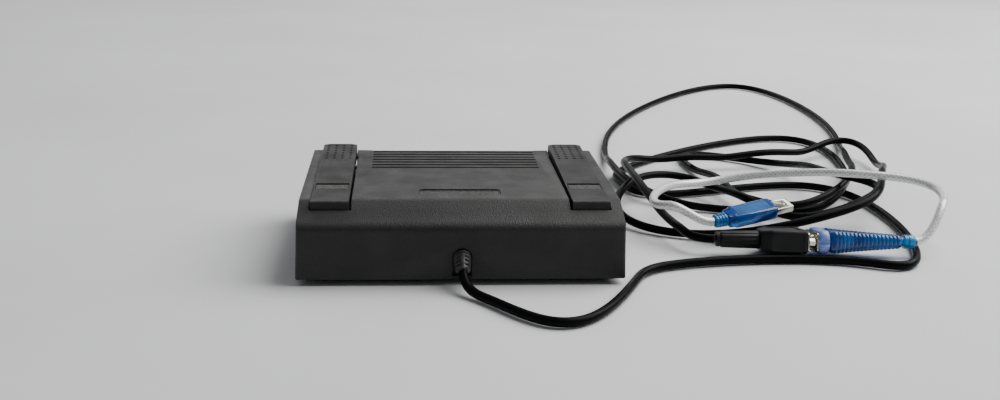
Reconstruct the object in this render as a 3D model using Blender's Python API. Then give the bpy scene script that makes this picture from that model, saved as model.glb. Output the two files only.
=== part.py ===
"""Three-function transcription foot pedal, with its cord, moulded plug and USB adapter.

The whole top shell is the play pedal. It is hinged to a base tray near its rear edge, where the cord
leaves. Two narrow side pedals, rewind at -X and forward at +X, are hinged in channels of the shell.
Lengths in this file are millimetres and are scaled to metres when a mesh is made. +Y points at the
user's foot, and the floor is z = 0.
"""

import math

import bmesh
import bpy
import numpy as np
from mathutils import Matrix, Vector

MM = 0.001
GAP = 0.3

# Shell
HALF_WIDTH = 100.0
REAR_Y = -79.3
LOBE_Y = 79.3
LOBE_CORNER_Y = 76.5
CENTRE_FAR_Y = 75.5
LOBE_INNER_X = 59.0
SKIRT_REAR_Z = 4.0
SKIRT_FAR_Z = 10.0
REAR_ROUND_Z = 33.1
REAR_ROUND = 6.5
BEVEL_ANGLE = math.radians(22.1)
CREASE_Y = -54.8
CREASE_Z = 47.5
PLATEAU_RISE = 0.0067
FAR_ROUND = 2.5
SIDE_DRAFT = 0.0336
WALL = 2.6

# Play hinge, side pedal hinges and switches
HINGE_Y = -68.0
HINGE_Z = 13.0
HINGE_X = 57.4
PIN_RADIUS = 1.5
PEDAL_PIVOT_Y = -57.0
PEDAL_PIVOT_Z = 41.3
PEDAL_X = 79.8
PEDAL_WIDTH = 23.2
PEDAL_REAR_Y = -63.9
PEDAL_REAR_Z = 48.2
PEDAL_FAR_Z = 52.8
PEDAL_CORNER_Y = 75.3
INNER_GAP = 1.5
OUTER_GAP = 0.6
END_GAP = 0.4
END_GAP_Y = 58.0
CHANNEL_FLOOR_Z = 36.0
TROUGH_FLOOR = 2.4
TROUGH_WALL = 3.2
TROUGH_OUTER_X = 98.0
PIVOT_INSET = 1.7
STEM_Y = -18.0
STEM_BOTTOM_Z = 36.3
SPRING_Y = 6.0
PLAY_STEM_Y = -8.0
PLAY_STEM_Z = 22.0
PLAY_SPRING_X = 50.0
PLAY_SPRING_Y = 45.0
PLAY_POST_Z = 20.0
PLAY_POST_RADIUS = 4.5
SPRING_WIRE = 0.45
POCKET_TOP_Z = 46.6
POCKET_RADIUS = 4.6
SIDE_TRAVEL = 1.8
PLAY_TRAVEL = 2.4
SWITCH_SIZE = (20.0, 6.6, 10.0)

# Grip grooves, name plate and label inserts
GROOVE_COUNT = 7
GROOVE_FIRST_Y = 26.0
GROOVE_PITCH = 7.6
GROOVE_HALF_LENGTH = 56.5
GROOVE_HALF_WIDTH = 1.5
GROOVE_DEPTH = 1.3
BADGE_HALF_WIDTH = 25.5
BADGE_REAR_Y = -45.0
BADGE_FAR_Y = -31.0
BADGE_DEPTH = 1.1
PLATE_FAR_Y = -33.0
LABEL_HALF_WIDTH = 10.2
LABEL_REAR_Y = -36.0
LABEL_FAR_Y = -26.6
LABEL_RECESS_FAR_Y = -23.6
LABEL_DEPTH = 0.9

# Base tray
BASE_BOTTOM_Z = 2.0
BASE_TOP_Z = 4.5
BASE_HALF_WIDTH = 94.0
BASE_REAR_Y = -74.2
BASE_FAR_Y = 70.0
LIP_Z = 12.0
LIP = 2.0
BOARD_Z = 7.0
BOARD_THICK = 1.6
BOARD_HALF = (38.0, 28.0)
STANDOFF = (34.0, 24.0)
SADDLE_HALF_WIDTH = 12.0
SADDLE_Y = (-71.0, -66.5)
SADDLE_SCREW = (8.6, -68.75)
FEET = [(-82, -62), (-82, 58), (82, -62), (82, 58)]

# Cord gland and cord
GLAND_Z = 17.5
GLAND_BEND_Y = -77.5
GLAND_BEND_RADIUS = 14.0
GLAND_BEND = math.radians(42.0)
GLAND_TIP = 3.0
GLAND_STUB = 4.2
GLAND_RIBS = 5
SLOT_HALF_WIDTH = 6.0
CORD_RADIUS = 2.9
LEAD_RADIUS = 2.9
CROSSING_GAP = 2.6
HUMP_BASE = 22.0
HUMP_SLOPE = 0.16
LINE_STEP = 3.0
LINE_SOFTENING = 10
HEIGHT_SOFTENING = 28
END_FADE = 32.0
FLOOR_GAP = 0.5
OWN_SKIP = 30.0
CORD_TURN = math.radians(48.0)
CORD_REACH = 110.0
LEAD_TURN = math.radians(30.0)
LEAD_REACH = 60.0

# The black cord's way over the floor, from the gland to the plug.
CORD_ROUTE = [
    (0, -89.9), (0, -96), (11, -110), (54, -153.5), (106, -81), (126, -55), (257, -46), (289, -55),
    (296, 146), (155, 125), (138, 165), (144, 200), (329, 329), (291, 95), (229, 74), (154, 108),
    (138, 227), (196, 443), (354, 624), (391, 432), (350, 240), (285, 84), (231, 67), (211, 175),
    (215, 261), (281, 213), (291, 102), (314, 69), (239, 40), (184, 139), (119, 54), (270, 10),
    (315, 69), (370, 225), (361, 275), (284, 230), (154, 194), (149, 3), (157.5, -18),
    (168.9, -20.2),
]

# The clear lead's way from the adapter over the black cord to the USB plug.
LEAD_ROUTE = [
    (302.35, -28), (311, -27.3), (322, -18), (330, -5), (334, 15), (326, 31), (308, 42), (287, 52),
    (265, 65), (243, 76), (221, 88), (196, 92), (170, 81), (148, 53), (137, 30), (137, 14),
    (145, 4), (157, 1), (166, 1.8), (173.75, 3.65),
]

# Moulded plug and adapter: u runs along their axis, v across it and w up.
PLUG_START = (169.7, -20.2)
PLUG_HEADING = math.radians(-3.6)
PLUG_ROLL = math.radians(-11.0)
PLUG_AXIS_Z = 10.9
HOOD_HALF = (15.75, 7.75)
LEAD_START_U = 132.1

USB_START = (174.3, 3.8)
USB_START_Z = 15.8
USB_HEADING = math.radians(15.0)
USB_PITCH = math.radians(7.9)
USB_ROLL = math.radians(15.0)

# Outlines of the plug and adapter bodies through their length: (u, half width, half height, corner).
PLUG_BOOT = [(0, 4.6, 4.6, 4.5), (2.5, 5.8, 5.6, 5.0), (28.2, 6.4, 5.9, 5.0)]
PLUG_HOOD = [
    (28.5, 9.0, 6.4, 3), (33.5, 14.55, 7.75, 3), (36, HOOD_HALF[0], HOOD_HALF[1], 3),
    (57.2, HOOD_HALF[0], HOOD_HALF[1], 3),
]
PLUG_SHELL = [(57.5, 15.3, 6.2, 1), (58.5, 15.3, 6.2, 1), (58.5, 8.6, 4.4, 2), (60.8, 8.4, 4.2, 2)]
ADAPTER_SHELL = [(61.1, 8.4, 4.2, 2), (63.5, 8.6, 4.4, 2), (63.5, 15.3, 6.2, 1), (64.4, 15.3, 6.2, 1)]
ADAPTER_FLANGE = [(64.7, 14.8, 7.0, 3), (66.2, 15.6, 7.75, 3), (70.8, 15.6, 7.75, 3), (72.2, 14.8, 7.2, 3)]
ADAPTER_HOOD = [(72.5, 14.0, 6.8, 3), (75, 14.6, 7.8, 3.5), (95, 11.8, 6.9, 3.5), (121.8, 6.4, 4.4, 3.5)]
ADAPTER_BOOT = [
    (122.1, 3.5, 3.5, 3.4), (124.3, 3.5, 3.5, 3.4), (124.6, 4.9, 4.6, 4.0), (130.8, 4.9, 4.6, 4.0),
    (131.8, 4.4, 4.2, 3.8),
]
USB_BOOT = [(0.3, 3.9, 3.9, 3.6), (2.0, 4.9, 4.4, 3.6), (9.2, 5.2, 4.4, 3.6)]
USB_HOUSING = [(9.5, 6.4, 4.2, 2), (13.0, 8.0, 4.7, 2), (43.0, 8.0, 4.7, 2), (45.7, 7.2, 4.0, 2)]
USB_SHELL = [(46.0, 6.0, 2.25, 0.5), (58.5, 6.0, 2.25, 0.5)]
USB_MOUTH = [(46.5, 5.6, 1.9, 0.3), (59.5, 5.6, 1.9, 0.3)]
USB_TONGUE = ((46.8, -5, 0.2), (57.5, 5, 1.5))
JACK_SCREW = (58.8, 12.4)
JACK_SCREW_LENGTH = 4.4
JACK_SCREW_RADIUS = 2.75


def clear_scene():
    for item in list(bpy.data.objects):
        bpy.data.objects.remove(item)


def material(name, colour, roughness, metallic=0.0):
    made = bpy.data.materials.new(name)
    made.use_nodes = True
    shader = made.node_tree.nodes["Principled BSDF"]
    shader.inputs["Base Color"].default_value = (*colour, 1.0)
    shader.inputs["Roughness"].default_value = roughness
    shader.inputs["Metallic"].default_value = metallic
    return made


def add_object(name, work, finish, origin=(0, 0, 0), smooth=False):
    """Turns a bmesh in millimetres into an object whose origin is at a place in millimetres."""
    bmesh.ops.recalc_face_normals(work, faces=work.faces)
    bmesh.ops.transform(work, matrix=Matrix.Translation(-Vector(origin)), verts=work.verts)
    bmesh.ops.transform(work, matrix=Matrix.Scale(MM, 4), verts=work.verts)
    mesh = bpy.data.meshes.new(name)
    work.to_mesh(mesh)
    work.free()
    if finish:
        mesh.materials.append(finish)
    if smooth:
        mesh.shade_smooth()
        mesh.set_sharp_from_angle(angle=math.radians(35))
    made = bpy.data.objects.new(name, mesh)
    made.location = Vector(origin) * MM
    bpy.context.scene.collection.objects.link(made)
    return made


def as_cutter(made):
    made.hide_render = True
    made.display_type = "WIRE"
    return made


def boolean(target, tool, operation):
    step = target.modifiers.new(operation.lower(), "BOOLEAN")
    step.operation = operation
    step.object = tool
    step.solver = "EXACT"


def cut(target, *tools):
    for tool in tools:
        boolean(target, as_cutter(tool), "DIFFERENCE")


def prism(points, axis, low, high):
    """A closed outline, extruded along an axis. Its points are (y, z), (x, z) or (x, y)."""
    placed = {
        "X": lambda a, b, at: (at, a, b),
        "Y": lambda a, b, at: (a, at, b),
        "Z": lambda a, b, at: (a, b, at),
    }
    work = bmesh.new()
    ends = [[work.verts.new(placed[axis](a, b, at)) for a, b in points] for at in (low, high)]
    work.faces.new(ends[0])
    work.faces.new(ends[1])
    for i in range(len(points)):
        j = (i + 1) % len(points)
        work.faces.new((ends[0][i], ends[0][j], ends[1][j], ends[1][i]))
    return work


def block(low, high):
    outline = [(low[0], low[1]), (high[0], low[1]), (high[0], high[1]), (low[0], high[1])]
    return prism(outline, "Z", low[2], high[2])


def arc(centre, radius, start, end, count):
    """Points of an arc, angles in degrees."""
    turns = [math.radians(start + (end - start) * i / count) for i in range(count + 1)]
    return [(centre[0] + radius * math.cos(t), centre[1] + radius * math.sin(t)) for t in turns]


def bridged(rings):
    """Rings of the same number of points, joined in order and closed at both ends."""
    work = bmesh.new()
    made = [[work.verts.new(point) for point in ring] for ring in rings]
    for a, b in zip(made, made[1:]):
        for i in range(len(a)):
            j = (i + 1) % len(a)
            work.faces.new((a[i], a[j], b[j], b[i]))
    work.faces.new(made[0])
    work.faces.new(made[-1])
    return work


def turned(profile, start, direction, sides=16):
    """A solid of revolution. The profile is (distance along the axis, radius)."""
    along = Vector(direction).normalized()
    across = along.orthogonal().normalized()
    up = along.cross(across)
    rings = []
    for distance, radius in profile:
        centre = Vector(start) + along * distance
        ring = []
        for i in range(sides):
            turn = 2 * math.pi * i / sides
            ring.append(centre + radius * (math.cos(turn) * across + math.sin(turn) * up))
        rings.append(ring)
    return bridged(rings)


def rod(start, direction, length, radius, sides=16):
    return turned([(0, radius), (length, radius)], start, direction, sides)


def joined(*works):
    """Several meshes in one, for a cutter whose pieces don't touch."""
    whole = works[0]
    for other in works[1:]:
        copied = {v: whole.verts.new(v.co) for v in other.verts}
        for face in other.faces:
            whole.faces.new([copied[v] for v in face.verts])
        other.free()
    return whole


def top_z(y):
    """Height of the shell's plateau."""
    return CREASE_Z + (y - CREASE_Y) * PLATEAU_RISE


def pedal_top_z(y):
    """Height of a side pedal's tread."""
    slope = (PEDAL_FAR_Z - PEDAL_REAR_Z) / (LOBE_Y - PEDAL_REAR_Y)
    return PEDAL_REAR_Z + (y - PEDAL_REAR_Y) * slope


def drafted(work):
    """Leans the sides of a shell mesh in towards the top."""
    for vert in work.verts:
        vert.co.x *= 1 - SIDE_DRAFT * (vert.co.z - SKIRT_REAR_Z) / HALF_WIDTH
    return work


def shell_section():
    """The shell seen from the side, as (y, z)."""
    tangent = 90 + math.degrees(BEVEL_ANGLE)
    rear = arc((REAR_Y + REAR_ROUND, REAR_ROUND_Z), REAR_ROUND, 180, tangent, 5)
    crease = [
        (CREASE_Y - 3, CREASE_Z - 1.1), (CREASE_Y, CREASE_Z - 0.15), (CREASE_Y + 3, top_z(CREASE_Y + 3)),
    ]
    far_top = top_z(LOBE_Y) - FAR_ROUND
    far = arc((LOBE_Y - FAR_ROUND, far_top), FAR_ROUND, 90, 0, 3)
    return [(REAR_Y, SKIRT_REAR_Z), *rear, *crease, *far, (LOBE_Y, SKIRT_FAR_Z)]


def shell_plan():
    """The shell seen from above, as (x, y): two lobes reach past the middle of the far edge."""
    chamfer = 1.5
    step = 3.0
    rear = [(-HALF_WIDTH, REAR_Y + chamfer), (-HALF_WIDTH + 2 * chamfer, REAR_Y - chamfer)]
    sweep = (HALF_WIDTH - LOBE_INNER_X) / 2
    lobe = []
    for i in range(9):
        share = -1 + i / 4
        bulge = (LOBE_Y - LOBE_CORNER_Y) * (1 - share * share)
        lobe.append((HALF_WIDTH - sweep + share * sweep, LOBE_CORNER_Y + bulge))
    inner = [(LOBE_INNER_X - step, CENTRE_FAR_Y)]
    right = inner + lobe
    left = [(-x, y) for x, y in reversed(right)]
    mirrored_rear = [(-x, y) for x, y in reversed(rear)]
    return rear + mirrored_rear + list(reversed(right)) + list(reversed(left))


def cavity_section():
    rear = REAR_Y + WALL
    bevel_z = 36.6
    return [
        (rear, -5), (rear, 33.0), (rear + 4.2, bevel_z), (CREASE_Y + 0.5, CREASE_Z - WALL),
        (CENTRE_FAR_Y - WALL, top_z(CENTRE_FAR_Y) - WALL), (CENTRE_FAR_Y - WALL, -5),
    ]


def trough(side):
    """The solid walls and floor round a side pedal's channel."""
    inner = PEDAL_X - PEDAL_WIDTH / 2 - INNER_GAP - TROUGH_WALL
    xs = sorted((side * inner, side * TROUGH_OUTER_X))
    bottom = CHANNEL_FLOOR_Z - TROUGH_FLOOR
    return block((xs[0], PEDAL_REAR_Y - 3.7, bottom), (xs[1], CENTRE_FAR_Y, 60))


def hinge_plate(side):
    low = (side * HINGE_X - 2, HINGE_Y - 3.6, HINGE_Z - 5)
    return block(low, (side * HINGE_X + 2, HINGE_Y + 3.6, 60))


def play_post(side):
    start = (side * PLAY_SPRING_X, PLAY_SPRING_Y, PLAY_POST_Z)
    return rod(start, (0, 0, 1), 40, PLAY_POST_RADIUS, 12)


def shell_cavity():
    """The hollow under the shell, less what hangs from its roof."""
    inside = prism(cavity_section(), "X", -HALF_WIDTH + WALL, HALF_WIDTH - WALL)
    cavity = as_cutter(add_object("cut_cavity", drafted(inside), None))
    stem = block((-3, PLAY_STEM_Y - 3, PLAY_STEM_Z), (3, PLAY_STEM_Y + 3, 60))
    pieces = [stem]
    for side in (-1, 1):
        pieces += [trough(side), hinge_plate(side), play_post(side)]
    for i, piece in enumerate(pieces):
        cut(cavity, add_object(f"keep_{i}", piece, None))
    return cavity


def channel_cutter(side):
    """The open channel of a side pedal. Its walls come close to the pedal at the far end."""
    inner = PEDAL_X - PEDAL_WIDTH / 2
    outer = PEDAL_X + PEDAL_WIDTH / 2
    rear = PEDAL_REAR_Y - 1.3
    far = LOBE_Y + 6
    outline = [
        (inner - INNER_GAP, rear), (outer + OUTER_GAP, rear), (outer + OUTER_GAP, END_GAP_Y),
        (outer + END_GAP, END_GAP_Y), (outer + END_GAP, far), (inner - END_GAP, far),
        (inner - END_GAP, END_GAP_Y), (inner - INNER_GAP, END_GAP_Y),
    ]
    return prism([(side * x, y) for x, y in outline], "Z", CHANNEL_FLOOR_Z, 60)


def pivot_rod(side, radius, spare=0.0):
    """A rod across a side pedal's channel, let into both walls, less some spare length at each end."""
    inner = PEDAL_X - PEDAL_WIDTH / 2 - INNER_GAP - PIVOT_INSET + spare
    outer = PEDAL_X + PEDAL_WIDTH / 2 + OUTER_GAP + PIVOT_INSET - spare
    return rod((side * inner, PEDAL_PIVOT_Y, PEDAL_PIVOT_Z), (side, 0, 0), outer - inner, radius)


def groove_cutter():
    """The grip grooves across the middle of the play pedal."""
    strips = []
    for i in range(GROOVE_COUNT):
        y = GROOVE_FIRST_Y + GROOVE_PITCH * i
        z = top_z(y)
        low = (-GROOVE_HALF_LENGTH, y - GROOVE_HALF_WIDTH, z - GROOVE_DEPTH)
        strips.append(block(low, (GROOVE_HALF_LENGTH, y + GROOVE_HALF_WIDTH, z + 3)))
    return joined(*strips)


def badge_cutter():
    z = top_z(BADGE_REAR_Y)
    return block((-BADGE_HALF_WIDTH, BADGE_REAR_Y, z - BADGE_DEPTH), (BADGE_HALF_WIDTH, BADGE_FAR_Y, z + 2))


def cord_slot_cutter():
    """The arched slot in the rear wall that the gland passes through."""
    half = SLOT_HALF_WIDTH
    outline = [(-half, -2), (half, -2)] + arc((0, GLAND_Z), half, 0, 180, 10)
    return prism(outline, "Y", REAR_Y - 3, REAR_Y + WALL + 1)


def make_top_shell(finish):
    shell = add_object("top_shell", prism(shell_section(), "X", -HALF_WIDTH - 5, HALF_WIDTH + 5), finish,
                       origin=(0, HINGE_Y, HINGE_Z))
    plan = as_cutter(add_object("keep_plan", drafted(prism(shell_plan(), "Z", -10, 70)), None))
    boolean(shell, plan, "INTERSECT")
    cut(shell, shell_cavity())
    for side in (-1, 1):
        middle = side * PEDAL_X
        hole = 3.5
        low = (middle - hole, STEM_Y - hole, CHANNEL_FLOOR_Z - TROUGH_FLOOR - 1)
        stem_hole = block(low, (middle + hole, STEM_Y + hole, CHANNEL_FLOOR_Z + 1))
        hinge_start = (side * HINGE_X - 4, HINGE_Y, HINGE_Z)
        cut(
            shell,
            add_object(f"cut_channel_{side}", channel_cutter(side), None),
            add_object(f"cut_stem_{side}", stem_hole, None),
            add_object(f"cut_pivot_{side}", pivot_rod(side, PIN_RADIUS + GAP), None),
            add_object(f"cut_hinge_{side}", rod(hinge_start, (1, 0, 0), 8, PIN_RADIUS + GAP), None),
        )
    cut(
        shell,
        add_object("cut_grooves", groove_cutter(), None),
        add_object("cut_badge", badge_cutter(), None),
        add_object("cut_cord_slot", cord_slot_cutter(), None),
    )


def make_badge(finish):
    """The blank name plate. Its far edge stops short, where the recess shows."""
    z = top_z(BADGE_REAR_Y)
    low = (-BADGE_HALF_WIDTH + GAP, BADGE_REAR_Y + GAP, z - BADGE_DEPTH + GAP)
    add_object("badge", block(low, (BADGE_HALF_WIDTH - GAP, PLATE_FAR_Y, z - 0.1)), finish)


def pedal_section():
    """A side pedal seen from the side, as (y, z)."""
    edge = 0.9
    far_edge = 1.2
    return [
        (PEDAL_REAR_Y, 38.6), (PEDAL_REAR_Y, PEDAL_REAR_Z - edge),
        (PEDAL_REAR_Y + edge, pedal_top_z(PEDAL_REAR_Y + edge)),
        (LOBE_Y - far_edge, pedal_top_z(LOBE_Y - far_edge)), (LOBE_Y, PEDAL_FAR_Z - far_edge),
        (LOBE_Y, 44.4), (-46, 42.2), (-51, 38.6),
    ]


def pedal_plan(middle):
    """A side pedal seen from above, as (x, y), with a bowed far end."""
    half = PEDAL_WIDTH / 2
    bow = []
    for i in range(9):
        share = 1 - i / 4
        bulge = (LOBE_Y - PEDAL_CORNER_Y) * (1 - share * share)
        bow.append((middle + share * half, PEDAL_CORNER_Y + bulge))
    return [(middle - half, PEDAL_REAR_Y - 5), (middle + half, PEDAL_REAR_Y - 5), *bow]


def tread_block(middle, half, low_y, high_y, deep, high):
    """A slab that follows a pedal's sloping tread, between two depths below it."""
    corners = ((low_y, deep), (high_y, deep), (high_y, high), (low_y, high))
    outline = [(y, pedal_top_z(y) - depth) for y, depth in corners]
    return prism(outline, "X", middle - half, middle + half)


def make_side_pedal(name, side, finish, label_finish):
    middle = side * PEDAL_X
    half = PEDAL_WIDTH / 2
    body = prism(pedal_section(), "X", middle - half - 2, middle + half + 2)
    pedal = add_object(f"{name}_pedal", body, finish, origin=(middle, PEDAL_PIVOT_Y, PEDAL_PIVOT_Z))
    plan = as_cutter(add_object(f"keep_{name}", prism(pedal_plan(middle), "Z", 20, 70), None))
    boolean(pedal, plan, "INTERSECT")
    stem = block((middle - 2, STEM_Y - 2, STEM_BOTTOM_Z), (middle + 2, STEM_Y + 2, 45))
    boolean(pedal, as_cutter(add_object(f"stem_{name}", stem, None)), "UNION")
    pivot = rod((middle - 20, PEDAL_PIVOT_Y, PEDAL_PIVOT_Z), (1, 0, 0), 40, PIN_RADIUS + GAP)
    pocket = rod((middle, SPRING_Y, 30), (0, 0, 1), POCKET_TOP_Z - 30, POCKET_RADIUS, 12)
    recess_half = LABEL_HALF_WIDTH + GAP
    recess = tread_block(middle, recess_half, LABEL_REAR_Y - GAP, LABEL_RECESS_FAR_Y, LABEL_DEPTH, -3)
    cut(
        pedal,
        add_object(f"cut_{name}_pivot", pivot, None),
        add_object(f"cut_{name}_pocket", pocket, None),
        add_object(f"cut_{name}_label", recess, None),
    )
    label = tread_block(middle, LABEL_HALF_WIDTH, LABEL_REAR_Y, LABEL_FAR_Y, LABEL_DEPTH - GAP, 0.05)
    add_object(f"{name}_label", label, label_finish)


def make_pins(finish):
    for side, name in ((-1, "rewind"), (1, "forward")):
        add_object(f"{name}_pivot_pin", pivot_rod(side, PIN_RADIUS, GAP), finish, smooth=True)
    for side, name in ((-1, "left"), (1, "right")):
        profile = [(0, PIN_RADIUS), (9.1, PIN_RADIUS), (9.1, 2.8), (10.4, 2.8)]
        start = (side * (HINGE_X - 2.2), HINGE_Y, HINGE_Z)
        add_object(f"shell_hinge_pin_{name}", turned(profile, start, (side, 0, 0)), finish, smooth=True)


def helix(start, height, radius, turns, steps):
    """Points of a compression spring that stands on its first point's height."""
    points = []
    for i in range(turns * steps + 1):
        turn = 2 * math.pi * i / steps
        points.append((start[0] + radius * math.cos(turn), start[1] + radius * math.sin(turn),
                       start[2] + height * i / (turns * steps)))
    return points


def tube_rings(points, radius, sides):
    """Rings of a tube that follows points, carried along without twist."""
    line = [Vector(p) for p in points]
    rings = []
    across = None
    for i, centre in enumerate(line):
        ahead = (line[min(i + 1, len(line) - 1)] - line[max(i - 1, 0)]).normalized()
        across = ahead.orthogonal() if across is None else across - ahead * across.dot(ahead)
        across.normalize()
        up = ahead.cross(across)
        ring = []
        for k in range(sides):
            turn = 2 * math.pi * k / sides
            ring.append(centre + radius * (math.cos(turn) * across + math.sin(turn) * up))
        rings.append(ring)
    return rings


def make_spring(name, foot, top, radius, finish):
    height = top - foot[2] - 2 * SPRING_WIRE
    points = helix((foot[0], foot[1], foot[2] + SPRING_WIRE), height, radius, 4, 10)
    add_object(name, bridged(tube_rings(points, SPRING_WIRE, 5)), finish, smooth=True)


def make_springs(finish):
    for side, name in ((-1, "rewind"), (1, "forward")):
        foot = (side * PEDAL_X, SPRING_Y, CHANNEL_FLOOR_Z + GAP)
        make_spring(f"{name}_spring", foot, POCKET_TOP_Z - GAP, 3.0, finish)
    for side, name in ((-1, "left"), (1, "right")):
        foot = (side * PLAY_SPRING_X, PLAY_SPRING_Y, BASE_TOP_Z + GAP)
        make_spring(f"play_spring_{name}", foot, PLAY_POST_Z - GAP, 3.6, finish)


def make_switch(name, place, top, plunger_top, travel, along, finish, button_finish):
    """A microswitch with a plunger in its top. along is X or Y, the way its case is long."""
    middle, y = place
    long, wide, high = SWITCH_SIZE
    half = (long / 2, wide / 2) if along == "X" else (wide / 2, long / 2)
    low = (middle - half[0], y - half[1], top - high)
    case = add_object(f"{name}_switch", block(low, (middle + half[0], y + half[1], top)), finish)
    bottom = top - travel - 4.0
    well = 1.6
    hollow = block((middle - well, y - well, bottom - travel - GAP), (middle + well, y + well, top + 1))
    cut(case, add_object(f"cut_{name}_well", hollow, None))
    stem = well - GAP
    button = block((middle - stem, y - stem, bottom), (middle + stem, y + stem, plunger_top))
    add_object(f"{name}_plunger", button, button_finish)


def make_switches(finish, button_finish):
    for side, name in ((-1, "rewind"), (1, "forward")):
        top = CHANNEL_FLOOR_Z - TROUGH_FLOOR - 0.4
        place = (side * PEDAL_X, STEM_Y)
        make_switch(name, place, top, STEM_BOTTOM_Z - GAP, SIDE_TRAVEL, "Y", finish, button_finish)
    top = BOARD_Z + BOARD_THICK + GAP + SWITCH_SIZE[2]
    make_switch("play", (0, PLAY_STEM_Y), top, PLAY_STEM_Z - GAP, PLAY_TRAVEL, "X", finish, button_finish)


def standoff_places():
    return [(x * STANDOFF[0], y * STANDOFF[1]) for x in (-1, 1) for y in (-1, 1)]


def make_base_plate(finish):
    """The tray under the shell, with a lip, hinge lugs, board standoffs and a saddle for the gland."""
    low = (-BASE_HALF_WIDTH, BASE_REAR_Y, BASE_BOTTOM_Z)
    base = add_object("base_plate", block(low, (BASE_HALF_WIDTH, BASE_FAR_Y, LIP_Z)), finish)
    inner_low = (-BASE_HALF_WIDTH + LIP, BASE_REAR_Y + LIP, BASE_TOP_Z)
    hollow = block(inner_low, (BASE_HALF_WIDTH - LIP, BASE_FAR_Y - LIP, LIP_Z + 5))
    notch = block((-8.5, BASE_REAR_Y - 1, BASE_TOP_Z), (8.5, BASE_REAR_Y + LIP + 1, LIP_Z + 5))
    cut(base, add_object("cut_tray", hollow, None), add_object("cut_gland_notch", notch, None))
    for side in (-1, 1):
        middle = side * (HINGE_X + 4.6)
        low = (middle - 2, HINGE_Y - 4.2, BASE_BOTTOM_Z + 1)
        lug = block(low, (middle + 2, HINGE_Y + 4.2, HINGE_Z + 4.5))
        boolean(base, as_cutter(add_object(f"lug_{side}", lug, None)), "UNION")
        bore = rod((middle - 4, HINGE_Y, HINGE_Z), (1, 0, 0), 8, PIN_RADIUS + GAP)
        cut(base, add_object(f"cut_lug_{side}", bore, None))
    for i, (x, y) in enumerate(standoff_places()):
        post = rod((x, y, BASE_BOTTOM_Z + 1), (0, 0, 1), BOARD_Z - GAP - BASE_BOTTOM_Z - 1, 3.0, 12)
        boolean(base, as_cutter(add_object(f"standoff_{i}", post, None)), "UNION")
        hole = rod((x, y, BASE_BOTTOM_Z + 1.2), (0, 0, 1), 8, 1.4, 12)
        cut(base, add_object(f"cut_standoff_{i}", hole, None))
    low = (-SADDLE_HALF_WIDTH, SADDLE_Y[0], BASE_BOTTOM_Z + 1)
    saddle = block(low, (SADDLE_HALF_WIDTH, SADDLE_Y[1], GLAND_Z - GAP / 2))
    boolean(base, as_cutter(add_object("saddle", saddle, None)), "UNION")
    cut(base, add_object("cut_saddle", gland_groove(), None))
    for side in (-1, 1):
        hole = rod((side * SADDLE_SCREW[0], SADDLE_SCREW[1], 9), (0, 0, 1), 12, 1.5, 12)
        cut(base, add_object(f"cut_saddle_screw_{side}", hole, None))


def gland_groove():
    """The round groove that the gland's inner end lies in, in the saddle and the clamp."""
    return rod((0, SADDLE_Y[0] - 2, GLAND_Z), (0, 1, 0), 8, GLAND_STUB + GAP)


def make_board(board_finish, socket_finish, screw_finish):
    low = (-BOARD_HALF[0], -BOARD_HALF[1], BOARD_Z)
    board = add_object("circuit_board", block(low, (*BOARD_HALF, BOARD_Z + BOARD_THICK)), board_finish)
    top = BOARD_Z + BOARD_THICK + GAP
    for i, (x, y) in enumerate(standoff_places()):
        cut(board, add_object(f"cut_board_{i}", rod((x, y, BOARD_Z - 2), (0, 0, 1), 6, 1.4, 12), None))
        profile = [(0, 1.1), (top - 4.0, 1.1), (top - 4.0, 2.5), (top - 2.8, 2.5), (top - 2.4, 1.6)]
        screw = turned(profile, (x, y, 4.0), (0, 0, 1), 12)
        add_object(f"board_screw_{i + 1}", screw, screw_finish, smooth=True)
    add_object("wire_socket", block((-8, -26, top), (8, -20, top + 6)), socket_finish)


def make_clamp(clamp_finish, screw_finish):
    """The bar that holds the gland's inner end down on its saddle."""
    low = (-SADDLE_HALF_WIDTH, SADDLE_Y[0], GLAND_Z + GAP / 2)
    high = (SADDLE_HALF_WIDTH, SADDLE_Y[1], GLAND_Z + 7)
    clamp = add_object("cord_clamp", block(low, high), clamp_finish)
    cut(clamp, add_object("cut_clamp", gland_groove(), None))
    for side, name in ((-1, "left"), (1, "right")):
        x = side * SADDLE_SCREW[0]
        hole = rod((x, SADDLE_SCREW[1], 12), (0, 0, 1), 16, 1.5, 12)
        cut(clamp, add_object(f"cut_clamp_{name}", hole, None))
        profile = [(0, 1.2), (14.8, 1.2), (14.8, 2.2), (16.2, 2.2), (16.6, 1.4)]
        screw = turned(profile, (x, SADDLE_SCREW[1], 10), (0, 0, 1), 12)
        add_object(f"clamp_screw_{name}", screw, screw_finish, smooth=True)


def make_feet(finish):
    profile = [(0, 5.4), (0.6, 6.0), (BASE_BOTTOM_Z - GAP, 6.0)]
    for i, (x, y) in enumerate(FEET):
        add_object(f"rubber_foot_{i + 1}", turned(profile, (x, y, 0), (0, 0, 1)), finish, smooth=True)


def gland_station(distance):
    """Place and direction at a distance along the gland's axis, which starts to bend at the rear wall."""
    bend_length = GLAND_BEND_RADIUS * GLAND_BEND
    turn = min(max(distance, 0), bend_length) / GLAND_BEND_RADIUS
    spare = distance - bend_length if distance > bend_length else min(distance, 0)
    y = GLAND_BEND_Y - GLAND_BEND_RADIUS * math.sin(turn) - spare * math.cos(turn)
    z = GLAND_Z - GLAND_BEND_RADIUS * (1 - math.cos(turn)) - spare * math.sin(turn)
    return Vector((0, y, z)), Vector((0, -math.cos(turn), -math.sin(turn)))


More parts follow.
